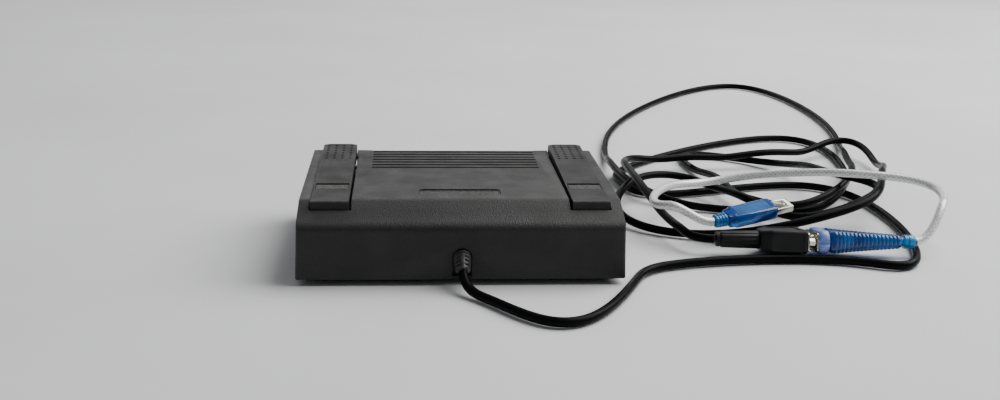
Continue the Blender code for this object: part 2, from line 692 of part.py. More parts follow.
def gland_profile():
    """(distance, radius) along the gland: inner stub, flange, neck and ribs that get smaller."""
    profile = [(-11.0, GLAND_STUB), (-4.0, GLAND_STUB), (-4.0, 7.2), (-2.0, 7.2), (-2.0, 4.4), (1.2, 4.4)]
    end = GLAND_BEND_RADIUS * GLAND_BEND + GLAND_TIP
    pitch = (end - 1.2) / GLAND_RIBS
    for i in range(GLAND_RIBS):
        start = 1.2 + i * pitch
        rib_end = start + 0.66 * pitch
        radius = 5.4 - 0.18 * i
        neck = 4.3 - 0.12 * i
        profile += [(start, radius), (rib_end, radius), (rib_end, neck)]
    profile.append((end, 4.3 - 0.12 * GLAND_RIBS))
    return profile


def make_gland(finish):
    sides = 16
    rings = []
    for distance, radius in gland_profile():
        centre, along = gland_station(distance)
        across = Vector((1, 0, 0))
        up = along.cross(across)
        ring = []
        for i in range(sides):
            turn = 2 * math.pi * i / sides
            ring.append(centre + radius * (math.cos(turn) * across + math.sin(turn) * up))
        rings.append(ring)
    add_object("cord_gland", bridged(rings), finish, smooth=True)


def smooth_line(route):
    """A natural cubic through the route's points, evenly spaced, with its tight bends softened."""
    points = np.array(route, float)
    knots = np.concatenate([[0], np.cumsum(np.linalg.norm(np.diff(points, axis=0), axis=1) ** 0.6)])
    gaps = np.diff(knots)
    count = len(points)
    matrix = np.eye(count)
    right = np.zeros(points.shape)
    for i in range(1, count - 1):
        matrix[i, i - 1 : i + 2] = gaps[i - 1], 2 * (gaps[i - 1] + gaps[i]), gaps[i]
        right[i] = 6 * ((points[i + 1] - points[i]) / gaps[i] - (points[i] - points[i - 1]) / gaps[i - 1])
    bends = np.linalg.solve(matrix, right)
    at = np.linspace(0, knots[-1], 40 * count)
    k = np.clip(np.searchsorted(knots, at, side="right") - 1, 0, count - 2)
    gap = gaps[k][:, None]
    ahead = (at - knots[k])[:, None] / gap
    behind = 1 - ahead
    curve = behind * points[k] + ahead * points[k + 1]
    curve += ((behind**3 - behind) * bends[k] + (ahead**3 - ahead) * bends[k + 1]) * gap**2 / 6
    return spaced(softer(spaced(curve), LINE_SOFTENING))


def softer(values, passes):
    """Values that are averaged with their neighbours again and again, apart from the first and last."""
    eased = np.array(values, float)
    for _ in range(passes):
        eased[1:-1] = (eased[:-2] + 2 * eased[1:-1] + eased[2:]) / 4
    return eased


def spaced(line):
    """The line again, with its points evenly spread."""
    along = np.concatenate([[0], np.cumsum(np.linalg.norm(np.diff(line, axis=0), axis=1))])
    at = np.linspace(0, along[-1], int(round(along[-1] / LINE_STEP)) + 1)
    return np.stack([np.interp(at, along, line[:, i]) for i in range(line.shape[1])], axis=1)


def lifts(line, floor, under, over_radius, under_radius, own_skip):
    """How high each point has to be to pass over what already lies under it."""
    need = np.array(floor, float)
    step = np.linalg.norm(line[1] - line[0])
    reach = over_radius + under_radius + CROSSING_GAP
    for i in range(len(line)):
        below = under if own_skip is None else under[: max(0, i - int(own_skip / step))]
        if not len(below):
            continue
        apart = np.linalg.norm(below[:, :2] - line[i], axis=1)
        near = apart < reach
        if near.any():
            need[i] = max(need[i], (below[near, 2] + np.sqrt(reach**2 - apart[near] ** 2)).max())
    return need


def humped(line, need, floor):
    """Long low humps over each point that has to be high. They fade out at both ends of the line."""
    step = np.linalg.norm(line[1] - line[0])
    along = np.arange(len(line)) * step
    heights = np.array(floor, float)
    for i in np.nonzero(need > floor + 0.01)[0]:
        rise = need[i] - floor[i]
        share = np.clip(np.abs(along - along[i]) / (HUMP_BASE + rise / HUMP_SLOPE), 0, 1)
        heights = np.maximum(heights, floor + rise * 0.5 * (1 + np.cos(np.pi * share)))
    inward = np.clip(np.minimum(along, along[-1] - along) / END_FADE, 0, 1)
    fade = inward * inward * (3 - 2 * inward)
    return floor + softer(heights - floor, HEIGHT_SOFTENING) * fade


def ramp(count, step, start, slope, length, rest):
    """Heights that fall from start to rest within a length, and stay there."""
    along = np.clip(np.arange(count) * step / length, 0, 1)
    fall = 2 * along**3 - 3 * along**2 + 1
    lean = along**3 - 2 * along**2 + along
    return rest + (start - rest) * fall + slope * length * lean


def lay_black_cord():
    """The black cord's centreline: from the gland to the floor, over itself, and up to the plug."""
    line = smooth_line(CORD_ROUTE)
    step = np.linalg.norm(line[1] - line[0])
    tip = gland_station(GLAND_BEND_RADIUS * GLAND_BEND + GLAND_TIP + GAP)[0]
    slope = -math.tan(GLAND_BEND)
    rest = CORD_RADIUS + FLOOR_GAP
    floor = ramp(len(line), step, tip.z, slope, 24.0, rest)
    floor = np.maximum(floor, ramp(len(line), step, PLUG_AXIS_Z, 0.0, 70.0, rest)[::-1])
    heights = np.array(floor)
    for _ in range(4):
        under = np.column_stack([line, heights])
        heights = humped(line, lifts(line, floor, under, CORD_RADIUS, CORD_RADIUS, OWN_SKIP), floor)
    heights[-1] = PLUG_AXIS_Z
    return np.column_stack([line, heights])


def lay_clear_lead(black):
    """The clear lead's centreline, on top of the black cord."""
    line = smooth_line(LEAD_ROUTE)
    step = np.linalg.norm(line[1] - line[0])
    start = plug_matrix() @ Vector((LEAD_START_U, 0, 0))
    floor = ramp(len(line), step, start.z, 0.0, 40.0, LEAD_RADIUS)
    floor = np.maximum(floor, ramp(len(line), step, USB_START_Z, 0.0, 50.0, LEAD_RADIUS)[::-1])
    need = lifts(line, floor, black, LEAD_RADIUS, CORD_RADIUS, None)
    return np.column_stack([line, humped(line, need, floor)])


def thinned(line, turn, reach):
    """Fewer points of the line: a new one each time that its turn and its run together use up their share.

    Rises count double, so that the tops of the humps stay.
    """
    pieces = np.diff(line, axis=0) * (1, 1, 2)
    runs = np.linalg.norm(pieces, axis=1)
    ways = pieces / runs[:, None]
    turns = np.arccos(np.clip((ways[1:] * ways[:-1]).sum(axis=1), -1, 1))
    used = np.concatenate([[0], np.cumsum(turns / turn + runs[1:] / reach), [0]])
    used[-1] = used[-2] + runs[-1] / reach
    shares = np.linspace(0, used[-1], int(used[-1]) + 1)
    middle = np.searchsorted(used, shares[1:-1])
    return line[np.unique(np.concatenate([[0, 1], middle, [len(line) - 2, len(line) - 1]]))]


def make_tube(name, line, radius, finish):
    curve = bpy.data.curves.new(name, "CURVE")
    curve.dimensions = "3D"
    curve.bevel_depth = radius * MM
    curve.bevel_resolution = 2
    curve.use_fill_caps = True
    spline = curve.splines.new("POLY")
    spline.points.add(len(line) - 1)
    for point, place in zip(spline.points, line):
        point.co = (*[c * MM for c in place], 1.0)
    curve.materials.append(finish)
    tube = bpy.data.objects.new(name, curve)
    bpy.context.scene.collection.objects.link(tube)


def plug_matrix():
    place = Matrix.Translation((*PLUG_START, PLUG_AXIS_Z))
    return place @ Matrix.Rotation(PLUG_HEADING, 4, "Z") @ Matrix.Rotation(PLUG_ROLL, 4, "X")


def usb_matrix():
    place = Matrix.Translation((*USB_START, USB_START_Z))
    turn = Matrix.Rotation(USB_HEADING, 4, "Z") @ Matrix.Rotation(-USB_PITCH, 4, "Y")
    return place @ turn @ Matrix.Rotation(USB_ROLL, 4, "X")


def rounded_ring(u, half_v, half_w, corner):
    """A rounded rectangle across the axis at u."""
    corner = min(corner, half_v, half_w)
    ring = []
    for quarter, (sv, sw) in enumerate(((1, 1), (-1, 1), (-1, -1), (1, -1))):
        centre = (sv * (half_v - corner), sw * (half_w - corner))
        for v, w in arc(centre, corner, 90 * quarter, 90 * quarter + 90, 3):
            ring.append(Vector((u, v, w)))
    return ring


def loft_rings(sections, matrix):
    return [[matrix @ point for point in rounded_ring(*section)] for section in sections]


def lofted(name, sections, matrix, finish):
    """A closed body through rounded rectangles, each (u, half_v, half_w, corner)."""
    return add_object(name, bridged(loft_rings(sections, matrix)), finish, smooth=True)


def make_moulded_plug(rubber, metal):
    matrix = plug_matrix()
    lofted("plug_boot", PLUG_BOOT, matrix, rubber)
    lofted("plug_hood", PLUG_HOOD, matrix, rubber)
    lofted("plug_shell", PLUG_SHELL, matrix, metal)
    along = matrix.to_3x3() @ Vector((1, 0, 0))
    for side, name in ((-1, "near"), (1, "far")):
        start = matrix @ Vector((JACK_SCREW[0], side * JACK_SCREW[1], 0))
        add_object(f"plug_screw_{name}", rod(start, along, JACK_SCREW_LENGTH, JACK_SCREW_RADIUS, 6), metal)


def make_adapter(blue, metal):
    matrix = plug_matrix()
    lofted("adapter_shell", ADAPTER_SHELL, matrix, metal)
    lofted("adapter_flange", ADAPTER_FLANGE, matrix, blue)
    lofted("adapter_hood", ADAPTER_HOOD, matrix, blue)
    lofted("adapter_boot", ADAPTER_BOOT, matrix, blue)


def make_usb_plug(blue, metal, insulator):
    matrix = usb_matrix()
    lofted("usb_boot", USB_BOOT, matrix, blue)
    lofted("usb_housing", USB_HOUSING, matrix, blue)
    shell = add_object("usb_shell", bridged(loft_rings(USB_SHELL, matrix)), metal)
    cut(shell, add_object("cut_usb_mouth", bridged(loft_rings(USB_MOUTH, matrix)), None))
    tongue = block(*USB_TONGUE)
    bmesh.ops.transform(tongue, matrix=matrix, verts=tongue.verts)
    add_object("usb_tongue", tongue, insulator)


def build():
    clear_scene()
    black_plastic = material("textured_black_plastic", (0.022, 0.022, 0.023), 0.55)
    pedal_plastic = material("pedal_black_plastic", (0.02, 0.02, 0.021), 0.5)
    base_plastic = material("base_black_plastic", (0.015, 0.015, 0.016), 0.6)
    label_plastic = material("worn_label_plastic", (0.05, 0.05, 0.052), 0.45)
    rubber = material("black_rubber", (0.012, 0.012, 0.012), 0.8)
    cord_vinyl = material("black_cord_vinyl", (0.012, 0.012, 0.014), 0.35)
    steel = material("bright_steel", (0.6, 0.6, 0.6), 0.3, 1.0)
    spring_steel = material("spring_steel", (0.45, 0.45, 0.47), 0.35, 1.0)
    board_green = material("circuit_board_green", (0.02, 0.12, 0.04), 0.5)
    switch_grey = material("switch_grey", (0.12, 0.12, 0.13), 0.5)
    button_white = material("button_white", (0.6, 0.6, 0.58), 0.5)
    nickel = material("nickel_plate", (0.7, 0.66, 0.58), 0.28, 1.0)
    blue = material("blue_clear_plastic", (0.03, 0.22, 0.6), 0.2)
    braid = material("silver_braid_lead", (0.65, 0.66, 0.68), 0.35, 0.3)

    make_top_shell(black_plastic)
    make_badge(label_plastic)
    make_side_pedal("rewind", -1, pedal_plastic, label_plastic)
    make_side_pedal("forward", 1, pedal_plastic, label_plastic)
    make_pins(steel)
    make_springs(spring_steel)
    make_switches(switch_grey, button_white)
    make_base_plate(base_plastic)
    make_board(board_green, button_white, steel)
    make_clamp(base_plastic, steel)
    make_feet(rubber)
    make_gland(rubber)
    black_line = lay_black_cord()
    make_tube("pedal_cord", thinned(black_line, CORD_TURN, CORD_REACH), CORD_RADIUS, cord_vinyl)
    make_moulded_plug(rubber, nickel)
    make_adapter(blue, nickel)
    lead_line = lay_clear_lead(black_line)
    make_tube("adapter_lead", thinned(lead_line, LEAD_TURN, LEAD_REACH), LEAD_RADIUS, braid)
    make_usb_plug(blue, nickel, button_white)


build()
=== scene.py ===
"""Looks of the transcription foot pedal: finer meshes, materials, cords, floor, lights and camera.

Lengths are millimetres in the frame's axes, and are scaled to metres when a mesh is made.
"""

import math

import bmesh
import bpy
import numpy as np
from mathutils import Matrix, Vector


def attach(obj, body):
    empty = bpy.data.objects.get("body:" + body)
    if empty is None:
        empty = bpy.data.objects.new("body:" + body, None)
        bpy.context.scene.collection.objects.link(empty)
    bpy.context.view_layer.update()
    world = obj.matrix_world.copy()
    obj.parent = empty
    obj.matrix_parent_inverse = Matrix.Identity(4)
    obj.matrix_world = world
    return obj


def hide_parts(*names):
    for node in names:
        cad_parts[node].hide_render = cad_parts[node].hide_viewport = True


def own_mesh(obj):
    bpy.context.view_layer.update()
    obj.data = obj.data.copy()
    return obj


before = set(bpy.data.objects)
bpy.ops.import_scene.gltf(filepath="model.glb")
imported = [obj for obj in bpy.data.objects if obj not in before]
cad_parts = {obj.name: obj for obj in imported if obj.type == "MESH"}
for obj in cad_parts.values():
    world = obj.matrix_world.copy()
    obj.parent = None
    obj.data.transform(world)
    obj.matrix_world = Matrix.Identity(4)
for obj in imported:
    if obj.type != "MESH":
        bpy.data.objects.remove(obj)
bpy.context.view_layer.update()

MM = 0.001

# Shell
HALF_WIDTH = 100.0
REAR_Y = -79.3
LOBE_Y = 79.3
LOBE_CORNER_Y = 76.5
CENTRE_FAR_Y = 75.5
LOBE_INNER_X = 59.0
SKIRT_REAR_Z = 4.0
SKIRT_FAR_Z = 10.0
REAR_ROUND_Z = 33.1
REAR_ROUND = 6.5
BEVEL_ANGLE = 22.1
CREASE_Y = -54.8
CREASE_Z = 47.5
PLATEAU_RISE = 0.0067
FAR_ROUND = 2.5
SIDE_DRAFT = 0.0336
WALL = 2.6
EDGE = 0.45

# Joints and side pedals
HINGE_Y = -68.0
HINGE_Z = 13.0
HINGE_X = 57.4
PEDAL_X = 79.8
PEDAL_WIDTH = 23.2
PEDAL_REAR_Y = -63.9
PEDAL_REAR_Z = 48.2
PEDAL_FAR_Z = 52.8
PEDAL_CORNER_Y = 75.3
INNER_GAP = 1.5
OUTER_GAP = 0.6
END_GAP = 0.4
END_GAP_Y = 58.0
CHANNEL_FLOOR_Z = 36.0
TROUGH_FLOOR = 2.4
STEM_Y = -18.0
STEM_BOTTOM_Z = 36.3
SPRING_Y = 6.0
PLAY_STEM_Y = -8.0
PLAY_STEM_Z = 22.0
PLAY_SPRING_X = 50.0
PLAY_SPRING_Y = 45.0
PLAY_POST_Z = 20.0
TRAY_TOP_Z = 4.5

# Cord gland and cords
GLAND_Z = 17.5
GLAND_BEND_Y = -77.5
GLAND_BEND_RADIUS = 14.0
GLAND_BEND = math.radians(42.0)
GLAND_TIP = 3.0
GAP = 0.3
CORD_RADIUS = 2.9
LEAD_RADIUS = 2.9
CROSSING_GAP = 2.6
HUMP_BASE = 22.0
HUMP_SLOPE = 0.16
LINE_STEP = 3.0
LINE_SOFTENING = 10
HEIGHT_SOFTENING = 28
END_FADE = 32.0
FLOOR_GAP = 0.5
OWN_SKIP = 30.0

# The black cord's way over the floor, from the gland to the plug.
CORD_ROUTE = [
    (0, -89.9), (0, -96), (11, -110), (54, -153.5), (106, -81), (126, -55), (257, -46), (289, -55),
    (296, 146), (155, 125), (138, 165), (144, 200), (329, 329), (291, 95), (229, 74), (154, 108),
    (138, 227), (196, 443), (354, 624), (391, 432), (350, 240), (285, 84), (231, 67), (211, 175),
    (215, 261), (281, 213), (291, 102), (314, 69), (239, 40), (184, 139), (119, 54), (270, 10),
    (315, 69), (370, 225), (361, 275), (284, 230), (154, 194), (149, 3), (157.5, -18),
    (168.9, -20.2),
]

# The clear lead's way from the adapter over the black cord to the USB plug.
LEAD_ROUTE = [
    (302.35, -28), (311, -27.3), (322, -18), (330, -5), (334, 15), (326, 31), (308, 42), (287, 52),
    (265, 65), (243, 76), (221, 88), (196, 92), (170, 81), (148, 53), (137, 30), (137, 14),
    (145, 4), (157, 1), (166, 1.8), (173.75, 3.65),
]

# Moulded plug and adapter: u runs along their axis, v across it and w up.
PLUG_START = (169.7, -20.2)
PLUG_HEADING = math.radians(-3.6)
PLUG_ROLL = math.radians(-11.0)
PLUG_AXIS_Z = 10.9
HOOD_HALF = (15.75, 7.75)
LEAD_START_U = 132.1

USB_START = (174.3, 3.8)
USB_START_Z = 15.8
USB_HEADING = math.radians(15.0)
USB_PITCH = math.radians(7.9)
USB_ROLL = math.radians(15.0)

# Camera
LENS = 43.69
CAMERA_PLACE = (-33.74, -773.66, 240.53)
CAMERA_PITCH = math.radians(-15.03)
CAMERA_YAW = math.radians(-4.59)
CAMERA_ROLL = math.radians(1.16)

# Floor, lights, and the painted highlight and wear on sharp edges
FLOOR_HALF = 12000.0
WORLD_STRENGTH = 0.2
KEY_PLACE = (1.55, 0.45, 1.8)
KEY_POWER = 98.0
REAR_PLACE = (-0.2, 2.3, 1.1)
REAR_POWER = 10.0
LAMP_COLOUR = (1.0, 0.995, 0.98)
# Pale grey mixed into the sharp edges of the black mouldings: a painted edge highlight, partly wear.
EDGE_WEAR_AND_HIGHLIGHT = (0.11, 0.11, 0.108, 1.0)

# Name plate, spring clip and grip pits
BADGE_Y = -38.0
CLIP_Y = 36.0
PIT_COLUMNS = 4
PIT_ROWS = 8
PIT_PITCH_X = 5.3
PIT_PITCH_Y = 5.0
PIT_FIRST_Y = 38.5


# ---------------------------------------------------------------- materials


def new_material(name, colour, roughness, metallic=0.0):
    made = bpy.data.materials.new(name)
    made.use_nodes = True
    shader = made.node_tree.nodes["Principled BSDF"]
    shader.inputs["Base Color"].default_value = (*colour, 1.0)
    shader.inputs["Roughness"].default_value = roughness
    shader.inputs["Metallic"].default_value = metallic
    made.diffuse_color = (*colour, 1.0)
    return made


def shader_of(made):
    return made.node_tree.nodes["Principled BSDF"]


def paint(made, colour):
    link(made, colour, shader_of(made).inputs["Base Color"])


def gloss(made, value):
    link(made, value, shader_of(made).inputs["Roughness"])


def node(made, kind, **values):
    """A shader node with some of its inputs set by name."""
    new = made.node_tree.nodes.new(kind)
    for name, value in values.items():
        new.inputs[name.replace("_", " ")].default_value = value
    return new


def link(made, output, entry):
    made.node_tree.links.new(output, entry)


def noise(made, scale, detail=3.0, stretch=None):
    """Noise in the object's own metres."""
    places = node(made, "ShaderNodeTexCoord").outputs["Object"]
    if stretch:
        mapping = node(made, "ShaderNodeMapping", Scale=stretch)
        link(made, places, mapping.inputs["Vector"])
        places = mapping.outputs["Vector"]
    made_noise = node(made, "ShaderNodeTexNoise", Scale=scale, Detail=detail)
    link(made, places, made_noise.inputs["Vector"])
    return made_noise.outputs["Fac"]


def ramp(made, value, *stops):
    """A colour ramp, from stops of (position, colour)."""
    made_ramp = node(made, "ShaderNodeValToRGB")
    made_ramp.color_ramp.elements[0].position = stops[0][0]
    made_ramp.color_ramp.elements[0].color = (*stops[0][1], 1.0)
    made_ramp.color_ramp.elements[1].position = stops[-1][0]
    made_ramp.color_ramp.elements[1].color = (*stops[-1][1], 1.0)
    for position, colour in stops[1:-1]:
        made_ramp.color_ramp.elements.new(position).color = (*colour, 1.0)
    link(made, value, made_ramp.inputs["Fac"])
    return made_ramp.outputs["Color"]


def spread(made, value, low, high, from_low=0.3, from_high=0.7):
    """A value brought from one range to another."""
    ends = {"From_Min": from_low, "From_Max": from_high, "To_Min": low, "To_Max": high}
    made_range = node(made, "ShaderNodeMapRange", **ends)
    link(made, value, made_range.inputs["Value"])
    return made_range.outputs["Result"]


def bump(made, value, depth, strength=1.0, under=None):
    """Adds bumps of a depth in millimetres to the shader, over bumps that are there already."""
    made_bump = node(made, "ShaderNodeBump", Strength=strength, Distance=depth * MM)
    link(made, value, made_bump.inputs["Height"])
    if under:
        link(made, under, made_bump.inputs["Normal"])
    link(made, made_bump.outputs["Normal"], shader_of(made).inputs["Normal"])
    return made_bump.outputs["Normal"]


def moulded_black(name, dark, light, roughness, grain):
    """Spark-eroded black ABS: a fine pebbled grain, uneven gloss, a trace of dust and pale edges, which are
    a painted highlight and partly wear.
    """
    made = new_material(name, light, roughness)
    pebbles = node(made, "ShaderNodeTexVoronoi", Scale=1.0 / (grain * MM))
    link(made, node(made, "ShaderNodeTexCoord").outputs["Object"], pebbles.inputs["Vector"])
    first = bump(made, pebbles.outputs["Distance"], 0.16, 1.0)
    bump(made, noise(made, 900.0, 4.0), 0.15, 1.0, under=first)
    colour = ramp(made, noise(made, 16.0, 6.0), (0.35, dark), (0.68, light))
    # Sharp edges turn towards a pale grey: a painted edge highlight, partly wear.
    edges = node(made, "ShaderNodeNewGeometry").outputs["Pointiness"]
    edge_wear_and_highlight = node(made, "ShaderNodeMix")
    edge_wear_and_highlight.data_type = "RGBA"
    edge_wear_and_highlight.inputs[7].default_value = EDGE_WEAR_AND_HIGHLIGHT
    link(made, spread(made, edges, 0.0, 0.35, 0.52, 0.62), edge_wear_and_highlight.inputs[0])
    link(made, colour, edge_wear_and_highlight.inputs[6])
    paint(made, edge_wear_and_highlight.outputs[2])
    gloss(made, spread(made, noise(made, 60.0, 4.0), roughness - 0.07, roughness + 0.1))
    shader_of(made).inputs["Specular IOR Level"].default_value = 0.4
    return made


def smooth_black(name, colour, roughness, scale=140.0, depth=0.03):
    """Black rubber or vinyl with a faint unevenness."""
    made = new_material(name, colour, roughness)
    bump(made, noise(made, scale, 4.0), depth, 0.6)
    light = tuple(min(1.0, c * 1.9) for c in colour)
    paint(made, ramp(made, noise(made, 35.0, 5.0), (0.35, colour), (0.75, light)))
    gloss(made, spread(made, noise(made, 90.0), roughness - 0.05, roughness + 0.12))
    return made


def worn_label(name, stretch, share):
    """A dark film, rubbed through to a paler ground in short streaks that cover a share of it."""
    made = new_material(name, (0.02, 0.02, 0.02), 0.5)
    streaks = noise(made, 900.0, 6.0, stretch=stretch)
    edge = 0.5 + 0.5 * (0.5 - share)
    stops = [
        (edge, (0.008, 0.008, 0.008)),
        (edge + 0.08, (0.03, 0.03, 0.028)),
        (edge + 0.2, (0.07, 0.069, 0.064)),
    ]
    paint(made, ramp(made, streaks, *stops))
    gloss(made, spread(made, streaks, 0.6, 0.4))
    shader_of(made).inputs["Specular IOR Level"].default_value = 0.35
    bump(made, noise(made, 1400.0), 0.03, 0.6)
    return made


def metal(name, colour, roughness, scale=220.0):
    """Plated or bare metal with fine scratches."""
    made = new_material(name, colour, roughness, 1.0)
    scratches = noise(made, scale, 6.0, stretch=(0.4, 4.0, 4.0))
    gloss(made, spread(made, scratches, roughness - 0.08, roughness + 0.16))
    bump(made, scratches, 0.012, 0.5)
    shade = tuple(c * 0.72 for c in colour)
    paint(made, ramp(made, noise(made, 90.0), (0.35, shade), (0.6, colour)))
    return made


def clear_blue(name, deep, pale, transmission, roughness=0.16):
    """Blue clear PVC, mottled between a deep and a pale blue."""
    made = new_material(name, pale, roughness)
    shader = shader_of(made)
    shader.inputs["Transmission Weight"].default_value = transmission
    shader.inputs["IOR"].default_value = 1.5
    shader.inputs["Coat Weight"].default_value = 0.2
    shader.inputs["Coat Roughness"].default_value = 0.1
    paint(made, ramp(made, noise(made, 70.0, 3.0), (0.36, deep), (0.64, pale)))
    bump(made, noise(made, 240.0, 3.0), 0.05, 0.5)
    return made


def plain_plastic(name, colour, roughness):
    """An inner plastic part, with a little grain and shade."""
    made = new_material(name, colour, roughness)
    shade = tuple(c * 0.75 for c in colour)
    paint(made, ramp(made, noise(made, 120.0, 4.0), (0.3, shade), (0.7, colour)))
    bump(made, noise(made, 1500.0), 0.03, 0.5)
    return made


def braid_wire(name):
    """Tinned wires crossing under a clear jacket: two sets of slanting strands, along the tube."""
    made = new_material(name, (0.84, 0.85, 0.86), 0.38, 0.35)
    shader = shader_of(made)
    shader.inputs["Coat Weight"].default_value = 0.6
    shader.inputs["Coat Roughness"].default_value = 0.12
    lengths = node(made, "ShaderNodeUVMap").outputs["UV"]
    heights = []
    for turn in (1, -1):
        mapping = node(made, "ShaderNodeMapping", Scale=(300.0, turn * 6.0, 1.0))
        link(made, lengths, mapping.inputs["Vector"])
        apart = node(made, "ShaderNodeSeparateXYZ")
        link(made, mapping.outputs["Vector"], apart.inputs["Vector"])
        total = node(made, "ShaderNodeMath")
        link(made, apart.outputs["X"], total.inputs[0])
        link(made, apart.outputs["Y"], total.inputs[1])
        wave = node(made, "ShaderNodeMath")
        wave.operation = "PINGPONG"
        wave.inputs[1].default_value = 0.5
        link(made, total.outputs[0], wave.inputs[0])
        heights.append(wave.outputs[0])
    crossed = node(made, "ShaderNodeMath")
    crossed.operation = "MAXIMUM"
    link(made, heights[0], crossed.inputs[0])
    link(made, heights[1], crossed.inputs[1])
    mottled = node(made, "ShaderNodeMath")
    mottled.operation = "MULTIPLY"
    link(made, crossed.outputs[0], mottled.inputs[0])
    link(made, spread(made, noise(made, 420.0, 2.0), 0.55, 1.25), mottled.inputs[1])
    stops = [(0.06, (0.58, 0.58, 0.57)), (0.22, (0.8, 0.8, 0.79)), (0.45, (0.96, 0.96, 0.95))]
    paint(made, ramp(made, mottled.outputs[0], *stops))
    bump(made, mottled.outputs[0], 0.25, 0.7)
    return made


# ---------------------------------------------------------------- meshes


def finished(name, work, finish, sharp=38.0):
    """A bmesh in millimetres as an object in metres."""
    bmesh.ops.recalc_face_normals(work, faces=work.faces)
    bmesh.ops.transform(work, matrix=Matrix.Scale(MM, 4), verts=work.verts)
    mesh = bpy.data.meshes.new(name)
    work.to_mesh(mesh)
    work.free()
    if finish:
        mesh.materials.append(finish)
    mesh.shade_smooth()
    mesh.set_sharp_from_angle(angle=math.radians(sharp))
    made = bpy.data.objects.new(name, mesh)
    bpy.context.scene.collection.objects.link(made)
    return made


def mounted(made, slot, body, *replaced):
    """The object as a piece: it rides on a body and stands for CAD nodes, which it hides. The slot is not
    used.
    """
    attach(made, body)
    if replaced:
        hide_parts(*replaced)
    return made


def baked(made):
    """Applies the object's modifiers."""
    bpy.context.view_layer.update()
    graph = bpy.context.evaluated_depsgraph_get()
    mesh = bpy.data.meshes.new_from_object(made.evaluated_get(graph), depsgraph=graph)
    made.modifiers.clear()
    made.data = mesh
    return made


def combined(target, tool, operation):
    step = target.modifiers.new("Boolean", "BOOLEAN")
    step.operation = operation
    step.object = tool
    step.solver = "EXACT"
    baked(target)
    bpy.data.objects.remove(tool)


def cut(target, *works):
    for work in works:
        combined(target, finished("cutter", work, None), "DIFFERENCE")


def softened(made, width, segments=2, angle=35.0):
    """Rounds the object's sharp edges, with shading that keeps the faces flat."""
    step = made.modifiers.new("Bevel", "BEVEL")
    step.width = width * MM
    step.segments = segments
    step.limit_method = "ANGLE"
    step.angle_limit = math.radians(angle)
    step.use_clamp_overlap = True
    step.harden_normals = True
    baked(made)
    return made


def evened(made):
    """Shades large faces flat, so that holes cut in them leave no streaks."""
    made.data.set_sharp_from_angle(angle=math.radians(38.0))
    step = made.modifiers.new("Weighted", "WEIGHTED_NORMAL")
    step.keep_sharp = True
    return baked(made)


def prism(points, axis, low, high):
    """A closed outline, extruded along an axis. Points are (y, z) for X, (x, z) for Y, (x, y) for Z."""
    placed = {
        "X": lambda a, b, at: (at, a, b),
        "Y": lambda a, b, at: (a, at, b),
        "Z": lambda a, b, at: (a, b, at),
    }
    work = bmesh.new()
    ends = [[work.verts.new(placed[axis](a, b, at)) for a, b in points] for at in (low, high)]
    work.faces.new(ends[0])
    work.faces.new(ends[1])
    for i in range(len(points)):
        j = (i + 1) % len(points)
        work.faces.new((ends[0][i], ends[0][j], ends[1][j], ends[1][i]))
    return work


def block(low, high):
    outline = [(low[0], low[1]), (high[0], low[1]), (high[0], high[1]), (low[0], high[1])]
    return prism(outline, "Z", low[2], high[2])


def arc(centre, radius, start, end, count):
    """Points of an arc, angles in degrees."""
    turns = [math.radians(start + (end - start) * i / count) for i in range(count + 1)]
    return [(centre[0] + radius * math.cos(t), centre[1] + radius * math.sin(t)) for t in turns]


def rounded_outline(half_a, half_b, corner, count=5, centre=(0.0, 0.0)):
    """A rounded rectangle as points, from its first corner round."""
    corner = min(corner, half_a, half_b)
    points = []
    for quarter, (a, b) in enumerate(((1, 1), (-1, 1), (-1, -1), (1, -1))):
        middle = (centre[0] + a * (half_a - corner), centre[1] + b * (half_b - corner))
        points += arc(middle, corner, 90 * quarter, 90 * quarter + 90, count)
    return points


def bridged(rings):
    """Rings of the same number of points, joined in order and closed at both ends."""
    work = bmesh.new()
    made = [[work.verts.new(point) for point in ring] for ring in rings]
    for a, b in zip(made, made[1:]):
        for i in range(len(a)):
            j = (i + 1) % len(a)
            work.faces.new((a[i], a[j], b[j], b[i]))
    work.faces.new(made[0])
    work.faces.new(made[-1])
    return work


def turned(profile, start, direction, sides=32):
    """A solid of revolution. The profile is (distance along the axis, radius)."""
    along = Vector(direction).normalized()
    across = along.orthogonal().normalized()
    up = along.cross(across)
    rings = []
    for distance, radius in profile:
        centre = Vector(start) + along * distance
        ring = []
        for i in range(sides):
            turn = 2 * math.pi * i / sides
            ring.append(centre + radius * (math.cos(turn) * across + math.sin(turn) * up))
        rings.append(ring)
    return bridged(rings)


def rod(start, direction, length, radius, sides=32):
    return turned([(0, radius), (length, radius)], start, direction, sides)


def joined(*works):
    """Several meshes in one."""
    whole = works[0]
    for other in works[1:]:
        copied = {v: whole.verts.new(v.co) for v in other.verts}
        for face in other.faces:
            whole.faces.new([copied[v] for v in face.verts])
        other.free()
    return whole


def top_z(y):
    """Height of the shell's plateau."""
    return CREASE_Z + (y - CREASE_Y) * PLATEAU_RISE


def pedal_top_z(y):
    """Height of a side pedal's tread."""
    slope = (PEDAL_FAR_Z - PEDAL_REAR_Z) / (LOBE_Y - PEDAL_REAR_Y)
    return PEDAL_REAR_Z + (y - PEDAL_REAR_Y) * slope


def drafted(work):
    """Leans the sides of a shell mesh in towards the top."""
    for vert in work.verts:
        vert.co.x *= 1 - SIDE_DRAFT * (vert.co.z - SKIRT_REAR_Z) / HALF_WIDTH
    return work


# ---------------------------------------------------------------- pedal housing


